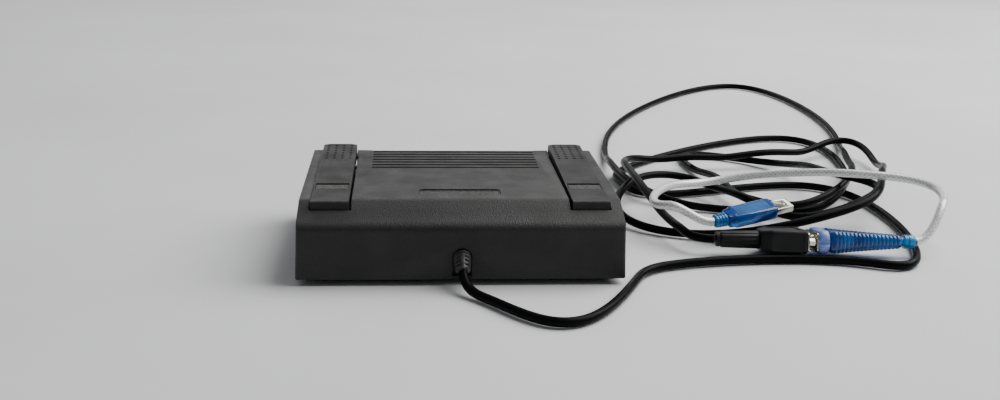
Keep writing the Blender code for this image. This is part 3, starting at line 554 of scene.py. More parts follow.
def shell_section():
    """The shell seen from the side, as (y, z), with its rear edge, crease and far edge rounded."""
    rear = arc((REAR_Y + REAR_ROUND, REAR_ROUND_Z), REAR_ROUND, 180, 90 + BEVEL_ANGLE, 9)
    crease_round = 12.0
    lean = math.radians(BEVEL_ANGLE)
    reach = crease_round * math.tan(lean / 2)
    start = (CREASE_Y - reach * math.cos(lean), CREASE_Z - reach * math.sin(lean))
    centre = (start[0] + crease_round * math.sin(lean), start[1] - crease_round * math.cos(lean))
    crease = arc(centre, crease_round, 90 + BEVEL_ANGLE, 90, 4)
    far_top = top_z(LOBE_Y) - FAR_ROUND
    far = arc((LOBE_Y - FAR_ROUND, far_top), FAR_ROUND, 90, 0, 6)
    return [(REAR_Y, SKIRT_REAR_Z), *rear, *crease, *far, (LOBE_Y, SKIRT_FAR_Z)]


def shell_plan():
    """The shell seen from above, as (x, y): two bowed lobes reach past the middle of the far edge."""
    corner = 2.2
    rear = arc((HALF_WIDTH - corner, REAR_Y + corner), corner, 0, -90, 5)
    sweep = (HALF_WIDTH - LOBE_INNER_X) / 2
    lobe = []
    for i in range(17):
        share = 1 - i / 8
        bulge = (LOBE_Y - LOBE_CORNER_Y) * (1 - share * share)
        lobe.append((HALF_WIDTH - sweep + share * sweep, LOBE_CORNER_Y + bulge))
    step = [(LOBE_INNER_X - 1.5, CENTRE_FAR_Y + 0.3), (LOBE_INNER_X - 3.5, CENTRE_FAR_Y)]
    right = [*reversed(rear), *lobe, *step]
    return right + [(-x, y) for x, y in reversed(right)]


def shell_cavity():
    """The hollow under the shell, less the troughs, posts and hinge plates that hang from its roof."""
    rear = REAR_Y + WALL
    section = [
        (rear, -5), (rear, 33.0), (rear + 4.2, 36.6), (CREASE_Y + 0.5, CREASE_Z - WALL),
        (CENTRE_FAR_Y - WALL, top_z(CENTRE_FAR_Y) - WALL), (CENTRE_FAR_Y - WALL, -5),
    ]
    cavity = finished("cavity", drafted(prism(section, "X", -HALF_WIDTH + WALL, HALF_WIDTH - WALL)), None)
    bottom = CHANNEL_FLOOR_Z - TROUGH_FLOOR
    inner = PEDAL_X - PEDAL_WIDTH / 2 - INNER_GAP - 3.2
    cut(cavity, block((-3, PLAY_STEM_Y - 3, PLAY_STEM_Z), (3, PLAY_STEM_Y + 3, 60)))
    for side in (-1, 1):
        xs = sorted((side * inner, side * 98.0))
        plate = sorted((side * HINGE_X - 2, side * HINGE_X + 2))
        cut(
            cavity,
            block((xs[0], PEDAL_REAR_Y - 3.7, bottom), (xs[1], CENTRE_FAR_Y, 60)),
            block((plate[0], HINGE_Y - 3.6, HINGE_Z - 5), (plate[1], HINGE_Y + 3.6, 60)),
            rod((side * PLAY_SPRING_X, PLAY_SPRING_Y, PLAY_POST_Z), (0, 0, 1), 40, 4.5),
        )
    return cavity


def grip_grooves():
    """Seven grooves with sloping walls across the middle of the play pedal."""
    strips = []
    for i in range(7):
        y = 26.0 + 7.6 * i
        z = top_z(y)
        section = [(y - 1.0, z - 1.3), (y + 1.0, z - 1.3), (y + 1.9, z + 1), (y - 1.9, z + 1)]
        strips.append(prism(section, "X", -56.5, 56.5))
    return joined(*strips)


def pedal_channel(side):
    """The open channel of a side pedal. Its walls come close to the pedal at the far end."""
    inner = PEDAL_X - PEDAL_WIDTH / 2
    outer = PEDAL_X + PEDAL_WIDTH / 2
    rear = PEDAL_REAR_Y - 1.3
    far = LOBE_Y + 6
    outline = [
        (inner - INNER_GAP, rear), (outer + OUTER_GAP, rear), (outer + OUTER_GAP, END_GAP_Y),
        (outer + END_GAP, END_GAP_Y), (outer + END_GAP, far), (inner - END_GAP, far),
        (inner - END_GAP, END_GAP_Y), (inner - INNER_GAP, END_GAP_Y),
    ]
    return prism([(side * x, y) for x, y in outline], "Z", CHANNEL_FLOOR_Z, 60)


def make_shell(finish):
    shell = finished("shell_moulding", prism(shell_section(), "X", -HALF_WIDTH - 5, HALF_WIDTH + 5), finish)
    plan = finished("plan", drafted(prism(shell_plan(), "Z", -10, 70)), None)
    combined(shell, plan, "INTERSECT")
    combined(shell, shell_cavity(), "DIFFERENCE")
    for side in (-1, 1):
        middle = side * PEDAL_X
        hole = 3.5
        floor = (CHANNEL_FLOOR_Z - TROUGH_FLOOR - 1, CHANNEL_FLOOR_Z + 1)
        cut(
            shell,
            pedal_channel(side),
            block((middle - hole, STEM_Y - hole, floor[0]), (middle + hole, STEM_Y + hole, floor[1])),
            rod((side * HINGE_X - 4, HINGE_Y, HINGE_Z), (1, 0, 0), 8, 1.8),
        )
    badge_z = top_z(BADGE_Y)
    slot_outline = [(-6.0, -2), (6.0, -2)] + arc((0, GLAND_Z), 6.0, 0, 180, 16)
    cut(
        shell,
        grip_grooves(),
        prism(rounded_outline(25.5, 7.0, 3.0, centre=(0, BADGE_Y)), "Z", badge_z - 1.1, badge_z + 2),
        prism(slot_outline, "Y", REAR_Y - 3, REAR_Y + WALL + 1),
    )
    softened(shell, EDGE)
    evened(shell)
    return mounted(shell, "shell_plastic", "shell", "top_shell")


def make_badge(finish):
    """The name plate, blank, with a raised rim."""
    z = top_z(BADGE_Y)
    middle = (0, BADGE_Y - 0.9)
    outline = rounded_outline(25.1, 5.8, 2.4, centre=middle)
    plate = finished("badge_plate", prism(outline, "Z", z - 0.8, z - 0.1), finish)
    cut(plate, prism(rounded_outline(24.3, 5.0, 1.8, centre=middle), "Z", z - 0.4, z + 1))
    softened(plate, 0.12, 1)
    return mounted(plate, "label_plastic", "shell", "badge")


def make_spring_clip(finish):
    """The bright end of a steel spring clip that shows in the rewind pedal's inner gap."""
    x = -(PEDAL_X - PEDAL_WIDTH / 2 - INNER_GAP / 2)
    outline = rounded_outline(2.4, 1.5, 0.8, centre=(CLIP_Y, top_z(CLIP_Y) - 2.2))
    clip = finished("spring_clip", prism(outline, "X", x - 0.5, x + 0.5), finish)
    softened(clip, 0.15, 2)
    return mounted(clip, "steel", "shell")


# ---------------------------------------------------------------- side pedals


def pedal_section():
    return [
        (PEDAL_REAR_Y, 38.6), (PEDAL_REAR_Y + 0.35, PEDAL_REAR_Z - 0.5),
        (PEDAL_REAR_Y + 0.9, pedal_top_z(PEDAL_REAR_Y + 0.9)),
        (LOBE_Y - 1.6, pedal_top_z(LOBE_Y - 1.6)),
        (LOBE_Y - 0.5, PEDAL_FAR_Z - 0.6), (LOBE_Y, PEDAL_FAR_Z - 1.8),
        (LOBE_Y, 44.4), (-46, 42.2), (-51, 38.6),
    ]


def pedal_plan(middle):
    half = PEDAL_WIDTH / 2
    bow = []
    for i in range(17):
        share = 1 - i / 8
        rise = (LOBE_Y - PEDAL_CORNER_Y) * (1 - share * share)
        bow.append((middle + share * half, PEDAL_CORNER_Y + rise))
    return [(middle - half, PEDAL_REAR_Y - 5), (middle + half, PEDAL_REAR_Y - 5), *bow]


def tread_slab(middle, half, low_y, high_y, deep, high):
    """A slab that follows a pedal's sloping tread, between two depths below it."""
    corners = ((low_y, deep), (high_y, deep), (high_y, high), (low_y, high))
    outline = [(y, pedal_top_z(y) - d) for y, d in corners]
    return prism(outline, "X", middle - half, middle + half)


def dimples(middle):
    """Four columns of round grip pits at the far end of a tread, each a cone with its tip cut off."""
    pits = []
    for column in range(PIT_COLUMNS):
        for row in range(PIT_ROWS):
            x = middle + PIT_PITCH_X * (column - (PIT_COLUMNS - 1) / 2)
            y = PIT_FIRST_Y + PIT_PITCH_Y * row
            top = pedal_top_z(y)
            pits.append(turned([(0, 0.8), (1.2, 1.1), (2.4, 1.4)], (x, y, top - 1.2), (0, 0, 1), 12))
    return joined(*pits)


def make_side_pedal(name, side, finish, label_finish):
    middle = side * PEDAL_X
    half = PEDAL_WIDTH / 2
    body = prism(pedal_section(), "X", middle - half - 2, middle + half + 2)
    pedal = finished(f"{name}_tread", body, finish)
    combined(pedal, finished("plan", prism(pedal_plan(middle), "Z", 20, 70), None), "INTERSECT")
    stem = block((middle - 2, STEM_Y - 2, STEM_BOTTOM_Z), (middle + 2, STEM_Y + 2, 45))
    combined(pedal, finished("stem", stem, None), "UNION")
    cut(
        pedal,
        rod((middle, SPRING_Y, 30), (0, 0, 1), 16.6, 4.6, 24),
        tread_slab(middle, 10.5, -36.3, -23.6, 0.9, -3),
    )
    softened(pedal, 0.55)
    cut(pedal, dimples(middle))
    evened(pedal)
    mounted(pedal, "pedal_plastic", name + "_pedal", name + "_pedal")
    label = finished(f"{name}_label_strip", tread_slab(middle, 10.2, -36.0, -26.6, 0.6, 0.05), label_finish)
    softened(label, 0.15, 2)
    mounted(label, "label_plastic", name + "_pedal", name + "_label")


def tube_rings(points, radius, sides):
    """Rings of a tube that follows points, carried along without twist."""
    line = [Vector(p) for p in points]
    rings = []
    across = None
    for i, centre in enumerate(line):
        ahead = (line[min(i + 1, len(line) - 1)] - line[max(i - 1, 0)]).normalized()
        across = ahead.orthogonal() if across is None else across - ahead * across.dot(ahead)
        across.normalize()
        up = ahead.cross(across)
        ring = []
        for k in range(sides):
            turn = 2 * math.pi * k / sides
            ring.append(centre + radius * (math.cos(turn) * across + math.sin(turn) * up))
        rings.append(ring)
    return rings


def make_spring(name, body, foot, top, radius, finish):
    """A compression spring with closed ends."""
    wire = 0.45
    height = top - foot[2] - 2 * wire
    steps = 20
    turns = 6
    points = []
    for i in range(turns * steps + 1):
        share = i / (turns * steps)
        turn = 2 * math.pi * i / steps
        rise = height * (share * share * (3 - 2 * share) * 0.35 + share * 0.65)
        around = (foot[0] + radius * math.cos(turn), foot[1] + radius * math.sin(turn))
        place = (*around, foot[2] + wire + rise)
        points.append(place)
    spring = finished(f"{name}_coil", bridged(tube_rings(points, wire, 8)), finish)
    mounted(spring, "spring_steel", body, name)
    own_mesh(spring)


def make_springs(finish):
    for side, name in ((-1, "rewind"), (1, "forward")):
        foot = (side * PEDAL_X, SPRING_Y, CHANNEL_FLOOR_Z + GAP)
        make_spring(f"{name}_spring", "shell", foot, 46.6 - GAP, 3.0, finish)
    for side, name in ((-1, "left"), (1, "right")):
        foot = (side * PLAY_SPRING_X, PLAY_SPRING_Y, TRAY_TOP_Z + GAP)
        make_spring(f"play_spring_{name}", "base", foot, PLAY_POST_Z - GAP, 3.6, finish)


# ---------------------------------------------------------------- gland and cords


def gland_station(distance):
    """Place and direction at a distance along the gland's axis, which starts to bend at the rear wall."""
    bend_length = GLAND_BEND_RADIUS * GLAND_BEND
    turn = min(max(distance, 0), bend_length) / GLAND_BEND_RADIUS
    spare = distance - bend_length if distance > bend_length else min(distance, 0)
    y = GLAND_BEND_Y - GLAND_BEND_RADIUS * math.sin(turn) - spare * math.cos(turn)
    z = GLAND_Z - GLAND_BEND_RADIUS * (1 - math.cos(turn)) - spare * math.sin(turn)
    return Vector((0, y, z)), Vector((0, -math.cos(turn), -math.sin(turn)))


def swept_gland(profile, sides, shape):
    """A body round the gland's bent axis. shape gives a radius for a turn round the axis."""
    rings = []
    for distance, radius in profile:
        centre, along = gland_station(distance)
        across = Vector((1, 0, 0))
        up = along.cross(across)
        ring = []
        for i in range(sides):
            turn = 2 * math.pi * i / sides
            reach = shape(radius, turn)
            ring.append(centre + reach * (math.cos(turn) * across + math.sin(turn) * up))
        rings.append(ring)
    return bridged(rings)


def make_gland(finish):
    """The strain relief: ribs that get smaller, tied together by a bar along top and bottom."""
    end = GLAND_BEND_RADIUS * GLAND_BEND + GLAND_TIP
    ribs = 5
    pitch = (end - 1.2) / ribs
    profile = [
        (-11.0, 4.2), (-4.0, 4.2), (-4.0, 7.0), (-3.8, 7.2),
        (-2.2, 7.2), (-2.0, 7.0), (-2.0, 4.3), (1.0, 4.2),
    ]
    for i in range(ribs):
        start = 1.2 + i * pitch
        radius = 5.4 - 0.18 * i
        neck = 4.0 - 0.12 * i
        profile += [
            (start, neck), (start + 0.04 * pitch, radius - 0.3), (start + 0.16 * pitch, radius),
            (start + 0.5 * pitch, radius), (start + 0.62 * pitch, radius - 0.3),
            (start + 0.66 * pitch, neck),
        ]
    profile += [(end - 0.1, 4.0 - 0.12 * ribs), (end, 3.9 - 0.12 * ribs)]

    def shape(radius, turn):
        bar = 1.0 if abs(abs(math.sin(turn)) - 1) < 0.035 else 0.0
        return max(radius, bar * 4.75) if radius < 5 else radius

    gland = finished("gland_moulding", swept_gland(profile, 48, shape), finish, sharp=50)
    return mounted(gland, "rubber", "base", "cord_gland")


def smooth_line(route):
    """A natural cubic through the route's points, evenly spaced, with its tight bends softened."""
    points = np.array(route, float)
    knots = np.concatenate([[0], np.cumsum(np.linalg.norm(np.diff(points, axis=0), axis=1) ** 0.6)])
    gaps = np.diff(knots)
    count = len(points)
    matrix = np.eye(count)
    right = np.zeros(points.shape)
    for i in range(1, count - 1):
        matrix[i, i - 1 : i + 2] = gaps[i - 1], 2 * (gaps[i - 1] + gaps[i]), gaps[i]
        right[i] = 6 * ((points[i + 1] - points[i]) / gaps[i] - (points[i] - points[i - 1]) / gaps[i - 1])
    bends = np.linalg.solve(matrix, right)
    at = np.linspace(0, knots[-1], 40 * count)
    k = np.clip(np.searchsorted(knots, at, side="right") - 1, 0, count - 2)
    gap = gaps[k][:, None]
    ahead = (at - knots[k])[:, None] / gap
    behind = 1 - ahead
    curve = behind * points[k] + ahead * points[k + 1]
    curve += ((behind**3 - behind) * bends[k] + (ahead**3 - ahead) * bends[k + 1]) * gap**2 / 6
    return spaced(softer(spaced(curve), LINE_SOFTENING))


def softer(values, passes):
    """Values that are averaged with their neighbours again and again, apart from the first and last."""
    eased = np.array(values, float)
    for _ in range(passes):
        eased[1:-1] = (eased[:-2] + 2 * eased[1:-1] + eased[2:]) / 4
    return eased


def spaced(line):
    """The line again, with its points evenly spread."""
    along = np.concatenate([[0], np.cumsum(np.linalg.norm(np.diff(line, axis=0), axis=1))])
    at = np.linspace(0, along[-1], int(round(along[-1] / LINE_STEP)) + 1)
    return np.stack([np.interp(at, along, line[:, i]) for i in range(line.shape[1])], axis=1)


def lifts(line, floor, under, over_radius, under_radius, own_skip):
    """How high each point has to be to pass over what already lies under it."""
    need = np.array(floor, float)
    step = np.linalg.norm(line[1] - line[0])
    reach = over_radius + under_radius + CROSSING_GAP
    for i in range(len(line)):
        below = under if own_skip is None else under[: max(0, i - int(own_skip / step))]
        if not len(below):
            continue
        apart = np.linalg.norm(below[:, :2] - line[i], axis=1)
        near = apart < reach
        if near.any():
            need[i] = max(need[i], (below[near, 2] + np.sqrt(reach**2 - apart[near] ** 2)).max())
    return need


def humped(line, need, floor):
    """Long low humps over each point that has to be high. They fade out at both ends of the line."""
    step = np.linalg.norm(line[1] - line[0])
    along = np.arange(len(line)) * step
    heights = np.array(floor, float)
    for i in np.nonzero(need > floor + 0.01)[0]:
        rise = need[i] - floor[i]
        share = np.clip(np.abs(along - along[i]) / (HUMP_BASE + rise / HUMP_SLOPE), 0, 1)
        heights = np.maximum(heights, floor + rise * 0.5 * (1 + np.cos(np.pi * share)))
    inward = np.clip(np.minimum(along, along[-1] - along) / END_FADE, 0, 1)
    fade = inward * inward * (3 - 2 * inward)
    return floor + softer(heights - floor, HEIGHT_SOFTENING) * fade


def slope_down(count, step, start, slope, length, rest):
    """Heights that fall from start to rest within a length, and stay there."""
    along = np.clip(np.arange(count) * step / length, 0, 1)
    fall = 2 * along**3 - 3 * along**2 + 1
    lean = along**3 - 2 * along**2 + along
    return rest + (start - rest) * fall + slope * length * lean


def black_cord_line():
    """The black cord's centreline: from the gland to the floor, over itself, and up to the plug."""
    line = smooth_line(CORD_ROUTE)
    step = np.linalg.norm(line[1] - line[0])
    tip = gland_station(GLAND_BEND_RADIUS * GLAND_BEND + GLAND_TIP + GAP)[0]
    slope = -math.tan(GLAND_BEND)
    rest = CORD_RADIUS + FLOOR_GAP
    floor = slope_down(len(line), step, tip.z, slope, 24.0, rest)
    floor = np.maximum(floor, slope_down(len(line), step, PLUG_AXIS_Z, 0.0, 70.0, rest)[::-1])
    heights = np.array(floor)
    for _ in range(4):
        under = np.column_stack([line, heights])
        heights = humped(line, lifts(line, floor, under, CORD_RADIUS, CORD_RADIUS, OWN_SKIP), floor)
    heights[-1] = PLUG_AXIS_Z
    return np.column_stack([line, heights])


def clear_lead_line(black):
    """The clear lead's centreline, on top of the black cord."""
    line = smooth_line(LEAD_ROUTE)
    step = np.linalg.norm(line[1] - line[0])
    start = plug_matrix() @ Vector((LEAD_START_U, 0, 0))
    floor = slope_down(len(line), step, start.z, 0.0, 40.0, LEAD_RADIUS)
    floor = np.maximum(floor, slope_down(len(line), step, USB_START_Z, 0.0, 50.0, LEAD_RADIUS)[::-1])
    need = lifts(line, floor, black, LEAD_RADIUS, CORD_RADIUS, None)
    return np.column_stack([line, humped(line, need, floor)])


def make_tube(name, line, radius, finish, sides):
    """A tube round a line, whose UV map holds metres along it and turns round it."""
    work = bmesh.new()
    layer = work.loops.layers.uv.new("UVMap")
    along = np.concatenate([[0], np.cumsum(np.linalg.norm(np.diff(line, axis=0), axis=1))]) * MM
    rings = [[work.verts.new(point) for point in ring] for ring in tube_rings(line, radius, sides)]
    for i, (a, b) in enumerate(zip(rings, rings[1:])):
        for k in range(sides):
            j = (k + 1) % sides
            face = work.faces.new((a[k], a[j], b[j], b[k]))
            turns = (k / sides, (k + 1) / sides, (k + 1) / sides, k / sides)
            for corner, turn, place in zip(face.loops, turns, (i, i, i + 1, i + 1)):
                corner[layer].uv = (along[place], turn)
    work.faces.new(rings[0])
    work.faces.new(rings[-1])
    return finished(name, work, finish, sharp=60)


# ---------------------------------------------------------------- plugs


def plug_matrix():
    place = Matrix.Translation((*PLUG_START, PLUG_AXIS_Z))
    return place @ Matrix.Rotation(PLUG_HEADING, 4, "Z") @ Matrix.Rotation(PLUG_ROLL, 4, "X")


def usb_matrix():
    place = Matrix.Translation((*USB_START, USB_START_Z))
    turn = Matrix.Rotation(USB_HEADING, 4, "Z") @ Matrix.Rotation(-USB_PITCH, 4, "Y")
    return place @ turn @ Matrix.Rotation(USB_ROLL, 4, "X")


def lofted(sections, matrix, count=6):
    """A closed body through rounded rectangles, each (u, half_v, half_w, corner)."""
    rings = []
    for u, half_v, half_w, corner in sections:
        outline = rounded_outline(half_v, half_w, corner, count)
        rings.append([matrix @ Vector((u, v, w)) for v, w in outline])
    return bridged(rings)


def plug_block(low, high, matrix):
    """A block in a plug's own axes."""
    work = block(low, high)
    bmesh.ops.transform(work, matrix=matrix, verts=work.verts)
    return work


def plug_rod(start, length, radius, matrix, sides=32):
    """A rod along u in a plug's own axes."""
    work = rod(start, (1, 0, 0), length, radius, sides)
    bmesh.ops.transform(work, matrix=matrix, verts=work.verts)
    return work


def fluted_boot(sections, matrix, flutes, depth, count=72):
    """A boot with lengthwise flutes. Sections are (u, half_v, half_w, share of the depth)."""
    rings = []
    for u, half_v, half_w, share in sections:
        ring = []
        for i in range(count):
            turn = 2 * math.pi * i / count
            wave = 0.5 + 0.5 * math.cos(flutes * turn)
            sunk = depth * share * (1 - min(1.0, 1.6 * wave))
            across = ((half_v - sunk) * math.cos(turn), (half_w - sunk) * math.sin(turn))
            ring.append(matrix @ Vector((u, *across)))
        rings.append(ring)
    return bridged(rings)


def sink_panels(piece, outline, axis, half, depth, matrix):
    """Sinks an outline into both faces of a plug, which stand half its thickness from its middle."""
    for face in (-1, 1):
        recess = prism(outline, axis, *sorted((face * (half - depth), face * (half + 2))))
        bmesh.ops.transform(recess, matrix=matrix, verts=recess.verts)
        cut(piece, recess)


def make_moulded_plug(rubber, nickel, gold):
    matrix = plug_matrix()
    boot_sections = [
        (0, 4.2, 4.2, 0), (0.3, 4.8, 4.8, 0), (2.4, 5.0, 5.0, 0), (2.7, 4.4, 4.4, 0), (3.4, 5.2, 5.1, 0),
        (3.9, 5.7, 5.5, 1), (27.6, 6.5, 6.0, 1), (28.2, 6.3, 5.8, 0.6),
    ]
    boot = finished("cord_boot", fluted_boot(boot_sections, matrix, 12, 0.55), rubber)
    pieces = [mounted(boot, "rubber", "base", "plug_boot")]

    half_v, half_w = HOOD_HALF
    hood_sections = [
        (28.5, 9.4, 6.4, 3), (29.0, 9.9, 6.8, 3),
        (33.8, half_v - 0.7, half_w - 0.1, 3), (35.2, half_v - 0.1, half_w, 3),
        (56.6, half_v, half_w, 3), (57.2, half_v - 0.5, half_w - 0.5, 3),
    ]
    hood = finished("plug_grip", lofted(hood_sections, matrix), rubber)
    panel = [(34.2, -6.5), (37.4, -11.5), (54.2, -11.5), (54.2, 11.5), (37.4, 11.5), (34.2, 6.5)]
    sink_panels(hood, panel, "Z", half_w, 0.55, matrix)
    side_panel = [(34.8, -2.4), (37.6, -5.4), (55.0, -5.4), (55.0, 5.4), (37.6, 5.4), (34.8, 2.4)]
    sink_panels(hood, side_panel, "Y", half_v, 0.45, matrix)
    softened(hood, 0.18, 2)
    pieces.append(mounted(hood, "rubber", "base", "plug_hood"))

    shell = lofted([
        (57.5, 15.1, 6.0, 1.6), (57.7, 15.3, 6.2, 1.8), (58.4, 15.3, 6.2, 1.8), (58.5, 15.1, 6.0, 1.6),
    ], matrix)
    nose = lofted([(58.4, 8.6, 4.4, 2.0), (60.6, 8.5, 4.3, 2.0), (60.8, 8.2, 4.0, 1.8)], matrix)
    face = finished("plug_face", joined(shell, nose), nickel)
    pieces.append(mounted(face, "nickel", "base", "plug_shell"))
    for side, name in ((-1, "near"), (1, "far")):
        hexagon = plug_rod((58.8, side * 12.4, 0), 3.6, 2.85, matrix, 6)
        stud = plug_rod((62.2, side * 12.4, 0), 1.0, 1.5, matrix, 20)
        screw = finished(f"jack_screw_{name}", joined(hexagon, stud), gold)
        softened(screw, 0.2, 2)
        pieces.append(mounted(screw, "nickel", "base", f"plug_screw_{name}"))
    return pieces


def ribbed_sections(start, end, low, high, ribs, depth):
    """Rounded rectangles from low to high, each (half_v, half_w), with ribs that swell round them."""
    sections = []
    per_rib = 8
    for i in range(ribs * per_rib + 1):
        share = i / (ribs * per_rib)
        swell = depth * abs(math.sin(math.pi * ribs * share)) ** 0.7
        ease = share ** 0.85
        half_v = low[0] + (high[0] - low[0]) * ease - 0.4 * depth + 0.4 * swell
        half_w = low[1] + (high[1] - low[1]) * ease - depth + swell
        sections.append((start + (end - start) * share, half_v, half_w, 3.6))
    return sections


def make_adapter(blue, pale_blue, cyan, core_blue, nickel):
    matrix = plug_matrix()
    pieces = []
    nose = lofted([(61.1, 8.2, 4.0, 1.8), (61.3, 8.5, 4.3, 2.0), (63.5, 8.6, 4.4, 2.0)], matrix)
    plate = lofted([
        (63.4, 15.1, 6.0, 1.6), (63.5, 15.3, 6.2, 1.8), (64.3, 15.3, 6.2, 1.8), (64.4, 15.1, 6.0, 1.6),
    ], matrix)
    face = finished("adapter_face", joined(nose, plate), nickel)
    pieces.append(mounted(face, "nickel", "base", "adapter_shell"))

    flange = finished("adapter_collar", lofted([
        (64.7, 14.0, 6.4, 5), (65.1, 15.0, 7.3, 5.6), (66.2, 15.7, 7.9, 6), (68.4, 15.9, 7.95, 6),
        (70.6, 15.6, 7.8, 6), (71.7, 14.9, 7.1, 5.4), (72.2, 14.0, 6.2, 5),
    ], matrix), pale_blue)
    waist = joined(*[plug_rod((64, side * 16.6, 0), 9, 2.6, matrix, 32) for side in (-1, 1)])
    cut(flange, waist)
    softened(flange, 0.7, 3, 40)
    pieces.append(mounted(flange, "clear_blue", "base", "adapter_flange"))

    hood = finished("adapter_grip", lofted([
        (72.5, 12.8, 6.0, 3), (73.2, 13.9, 6.9, 3.4), (74.0, 14.2, 7.2, 3.5),
        *ribbed_sections(75.0, 121.0, (14.6, 7.7), (6.4, 4.6), 17, 0.6),
        (121.8, 5.4, 3.8, 3),
    ], matrix), blue)
    pieces.append(mounted(hood, "clear_blue", "base", "adapter_hood"))
    core = finished("adapter_core", lofted([
        (76, 8.5, 3.6, 2), (78, 9.5, 4.4, 2.4), (96, 7.5, 4.0, 2.4), (112, 3.6, 2.6, 2),
        (120.5, 2.4, 2.2, 1.8),
    ], matrix), core_blue)
    pieces.append(mounted(core, "clear_blue", "base"))

    boot = finished("adapter_relief", lofted([
        (122.1, 3.3, 3.3, 3.2), (124.2, 3.3, 3.3, 3.2), (124.4, 4.5, 4.3, 4.0), (124.8, 4.9, 4.6, 4.2),
        (126.8, 4.9, 4.6, 4.2), (127.1, 4.3, 4.1, 3.8), (127.5, 4.3, 4.1, 3.8), (127.8, 4.8, 4.5, 4.1),
        (130.6, 4.7, 4.5, 4.1), (131.4, 4.5, 4.2, 3.9), (131.8, 3.9, 3.7, 3.5),
    ], matrix), cyan)
    pieces.append(mounted(boot, "clear_blue", "base", "adapter_boot"))
    return pieces


def make_usb_plug(blue, top_blue, cyan, nickel, insulator):
    matrix = usb_matrix()
    boot_sections = [(0.3, 3.2, 3.2, 3.0), (0.6, 3.9, 3.8, 3.4)]
    for i in range(4):
        u = 1.0 + 2.1 * i
        wide = 4.6 + 0.15 * i
        high = 4.2 + 0.05 * i
        boot_sections += [
            (u, wide - 0.5, high - 0.5, 3.6), (u + 0.25, wide, high, 3.8), (u + 1.25, wide, high, 3.8),
            (u + 1.5, wide - 0.5, high - 0.5, 3.6),
        ]
    boot_sections.append((9.2, 4.6, 4.0, 3.4))
    boot = finished("usb_relief", lofted(boot_sections, matrix), cyan)
    pieces = [mounted(boot, "clear_blue", "base", "usb_boot")]

    housing_sections = [
        (9.5, 6.0, 3.8, 2), (9.9, 6.5, 4.2, 2.2), (13.0, 6.9, 4.4, 2.2), (14.4, 7.9, 4.7, 2.0),
        (43.4, 8.0, 4.7, 2.0), (45.3, 7.5, 4.2, 2.0), (45.7, 7.0, 3.8, 1.8),
    ]
    housing = finished("usb_grip", lofted(housing_sections, matrix), blue)
    panel = rounded_outline(13.0, 5.6, 1.6, centre=(29.0, 0.0))
    recess = prism(panel, "Z", 4.35, 7)
    bmesh.ops.transform(recess, matrix=matrix, verts=recess.verts)
    cut(housing, recess)
    softened(housing, 0.15, 2)
    pieces.append(mounted(housing, "clear_blue", "base", "usb_housing"))
    plate_outline = rounded_outline(12.8, 5.4, 1.5, centre=(29.0, 0.0))
    plate = prism(plate_outline, "Z", 4.3, 4.62)
    bmesh.ops.transform(plate, matrix=matrix, verts=plate.verts)
    pieces.append(mounted(finished("usb_top_panel", plate, top_blue), "clear_blue", "base"))

    outside = lofted([(46.0, 6.0, 2.25, 0.5), (58.3, 6.0, 2.25, 0.5), (58.5, 5.9, 2.15, 0.5)], matrix)
    shell = finished("usb_metal", outside, nickel)
    inside = lofted([(46.5, 5.6, 1.9, 0.3), (60.0, 5.6, 1.9, 0.3)], matrix)
    windows = [
        plug_block((53.0, side * 2.6 - 0.8, -5), (54.4, side * 2.6 + 0.8, 5), matrix) for side in (-1, 1)
    ]
    cut(shell, inside, joined(*windows))
    pieces.append(mounted(shell, "nickel", "base", "usb_shell"))
    tongue = finished("usb_contact_block", plug_block((46.8, -5, 0.2), (57.5, 5, 1.5), matrix), insulator)
    softened(tongue, 0.15, 2)
    pieces.append(mounted(tongue, "white_plastic", "base", "usb_tongue"))
    plate = plug_block((47.5, -5.3, 1.55), (57.0, 5.3, 1.75), matrix)
    backing = finished("usb_spring_plate", plate, nickel)
    pieces.append(mounted(backing, "nickel", "base"))
    rows = (-3.5, -1.2, 1.2, 3.5)
    contacts = [plug_block((49.0, v - 0.5, 0.05), (57.0, v + 0.5, 0.25), matrix) for v in rows]
    pieces.append(mounted(finished("usb_contacts", joined(*contacts), nickel), "nickel", "base"))
    return pieces


# ---------------------------------------------------------------- scene


def refine_frame_parts(finishes):
    """Rounds the edges of the CAD parts that stay, and gives each its finish."""
    for name, finish in finishes.items():
        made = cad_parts[name]
        weld = made.modifiers.new("Weld", "WELD")
        weld.merge_threshold = 0.00001
        step = made.modifiers.new("Bevel", "BEVEL")
        step.width = 0.2 * MM
        step.segments = 2
        step.limit_method = "ANGLE"
        step.angle_limit = math.radians(40)
        step.harden_normals = True
        made.data.materials.clear()
        made.data.materials.append(finish)


def make_camera():
    data = bpy.data.cameras.new("camera")
    data.lens = LENS
    data.sensor_width = 36.0
    data.clip_start = 0.01
    data.clip_end = 50.0
    camera = bpy.data.objects.new("camera", data)
    turn = Matrix.Rotation(CAMERA_YAW, 4, "Z") @ Matrix.Rotation(math.pi / 2 + CAMERA_PITCH, 4, "X")
    place = Matrix.Translation(Vector(CAMERA_PLACE) * MM)
    camera.matrix_world = place @ turn @ Matrix.Rotation(CAMERA_ROLL, 4, "Z")
    bpy.context.scene.collection.objects.link(camera)
    bpy.context.scene.camera = camera


def make_floor():
    """A wide, pale, level floor."""
    finish = new_material("pale_sheet", (0.8, 0.805, 0.81), 0.75)
    bump(finish, noise(finish, 500.0, 4.0), 0.08, 0.3)
    shades = ramp(finish, noise(finish, 3.0, 4.0), (0.3, (0.76, 0.765, 0.765)), (0.7, (0.84, 0.845, 0.85)))
    link(finish, shades, shader_of(finish).inputs["Base Color"])
    work = prism(rounded_outline(FLOOR_HALF, FLOOR_HALF, 500.0), "Z", -5.0, -0.2)
    finished("sheet", work, finish)


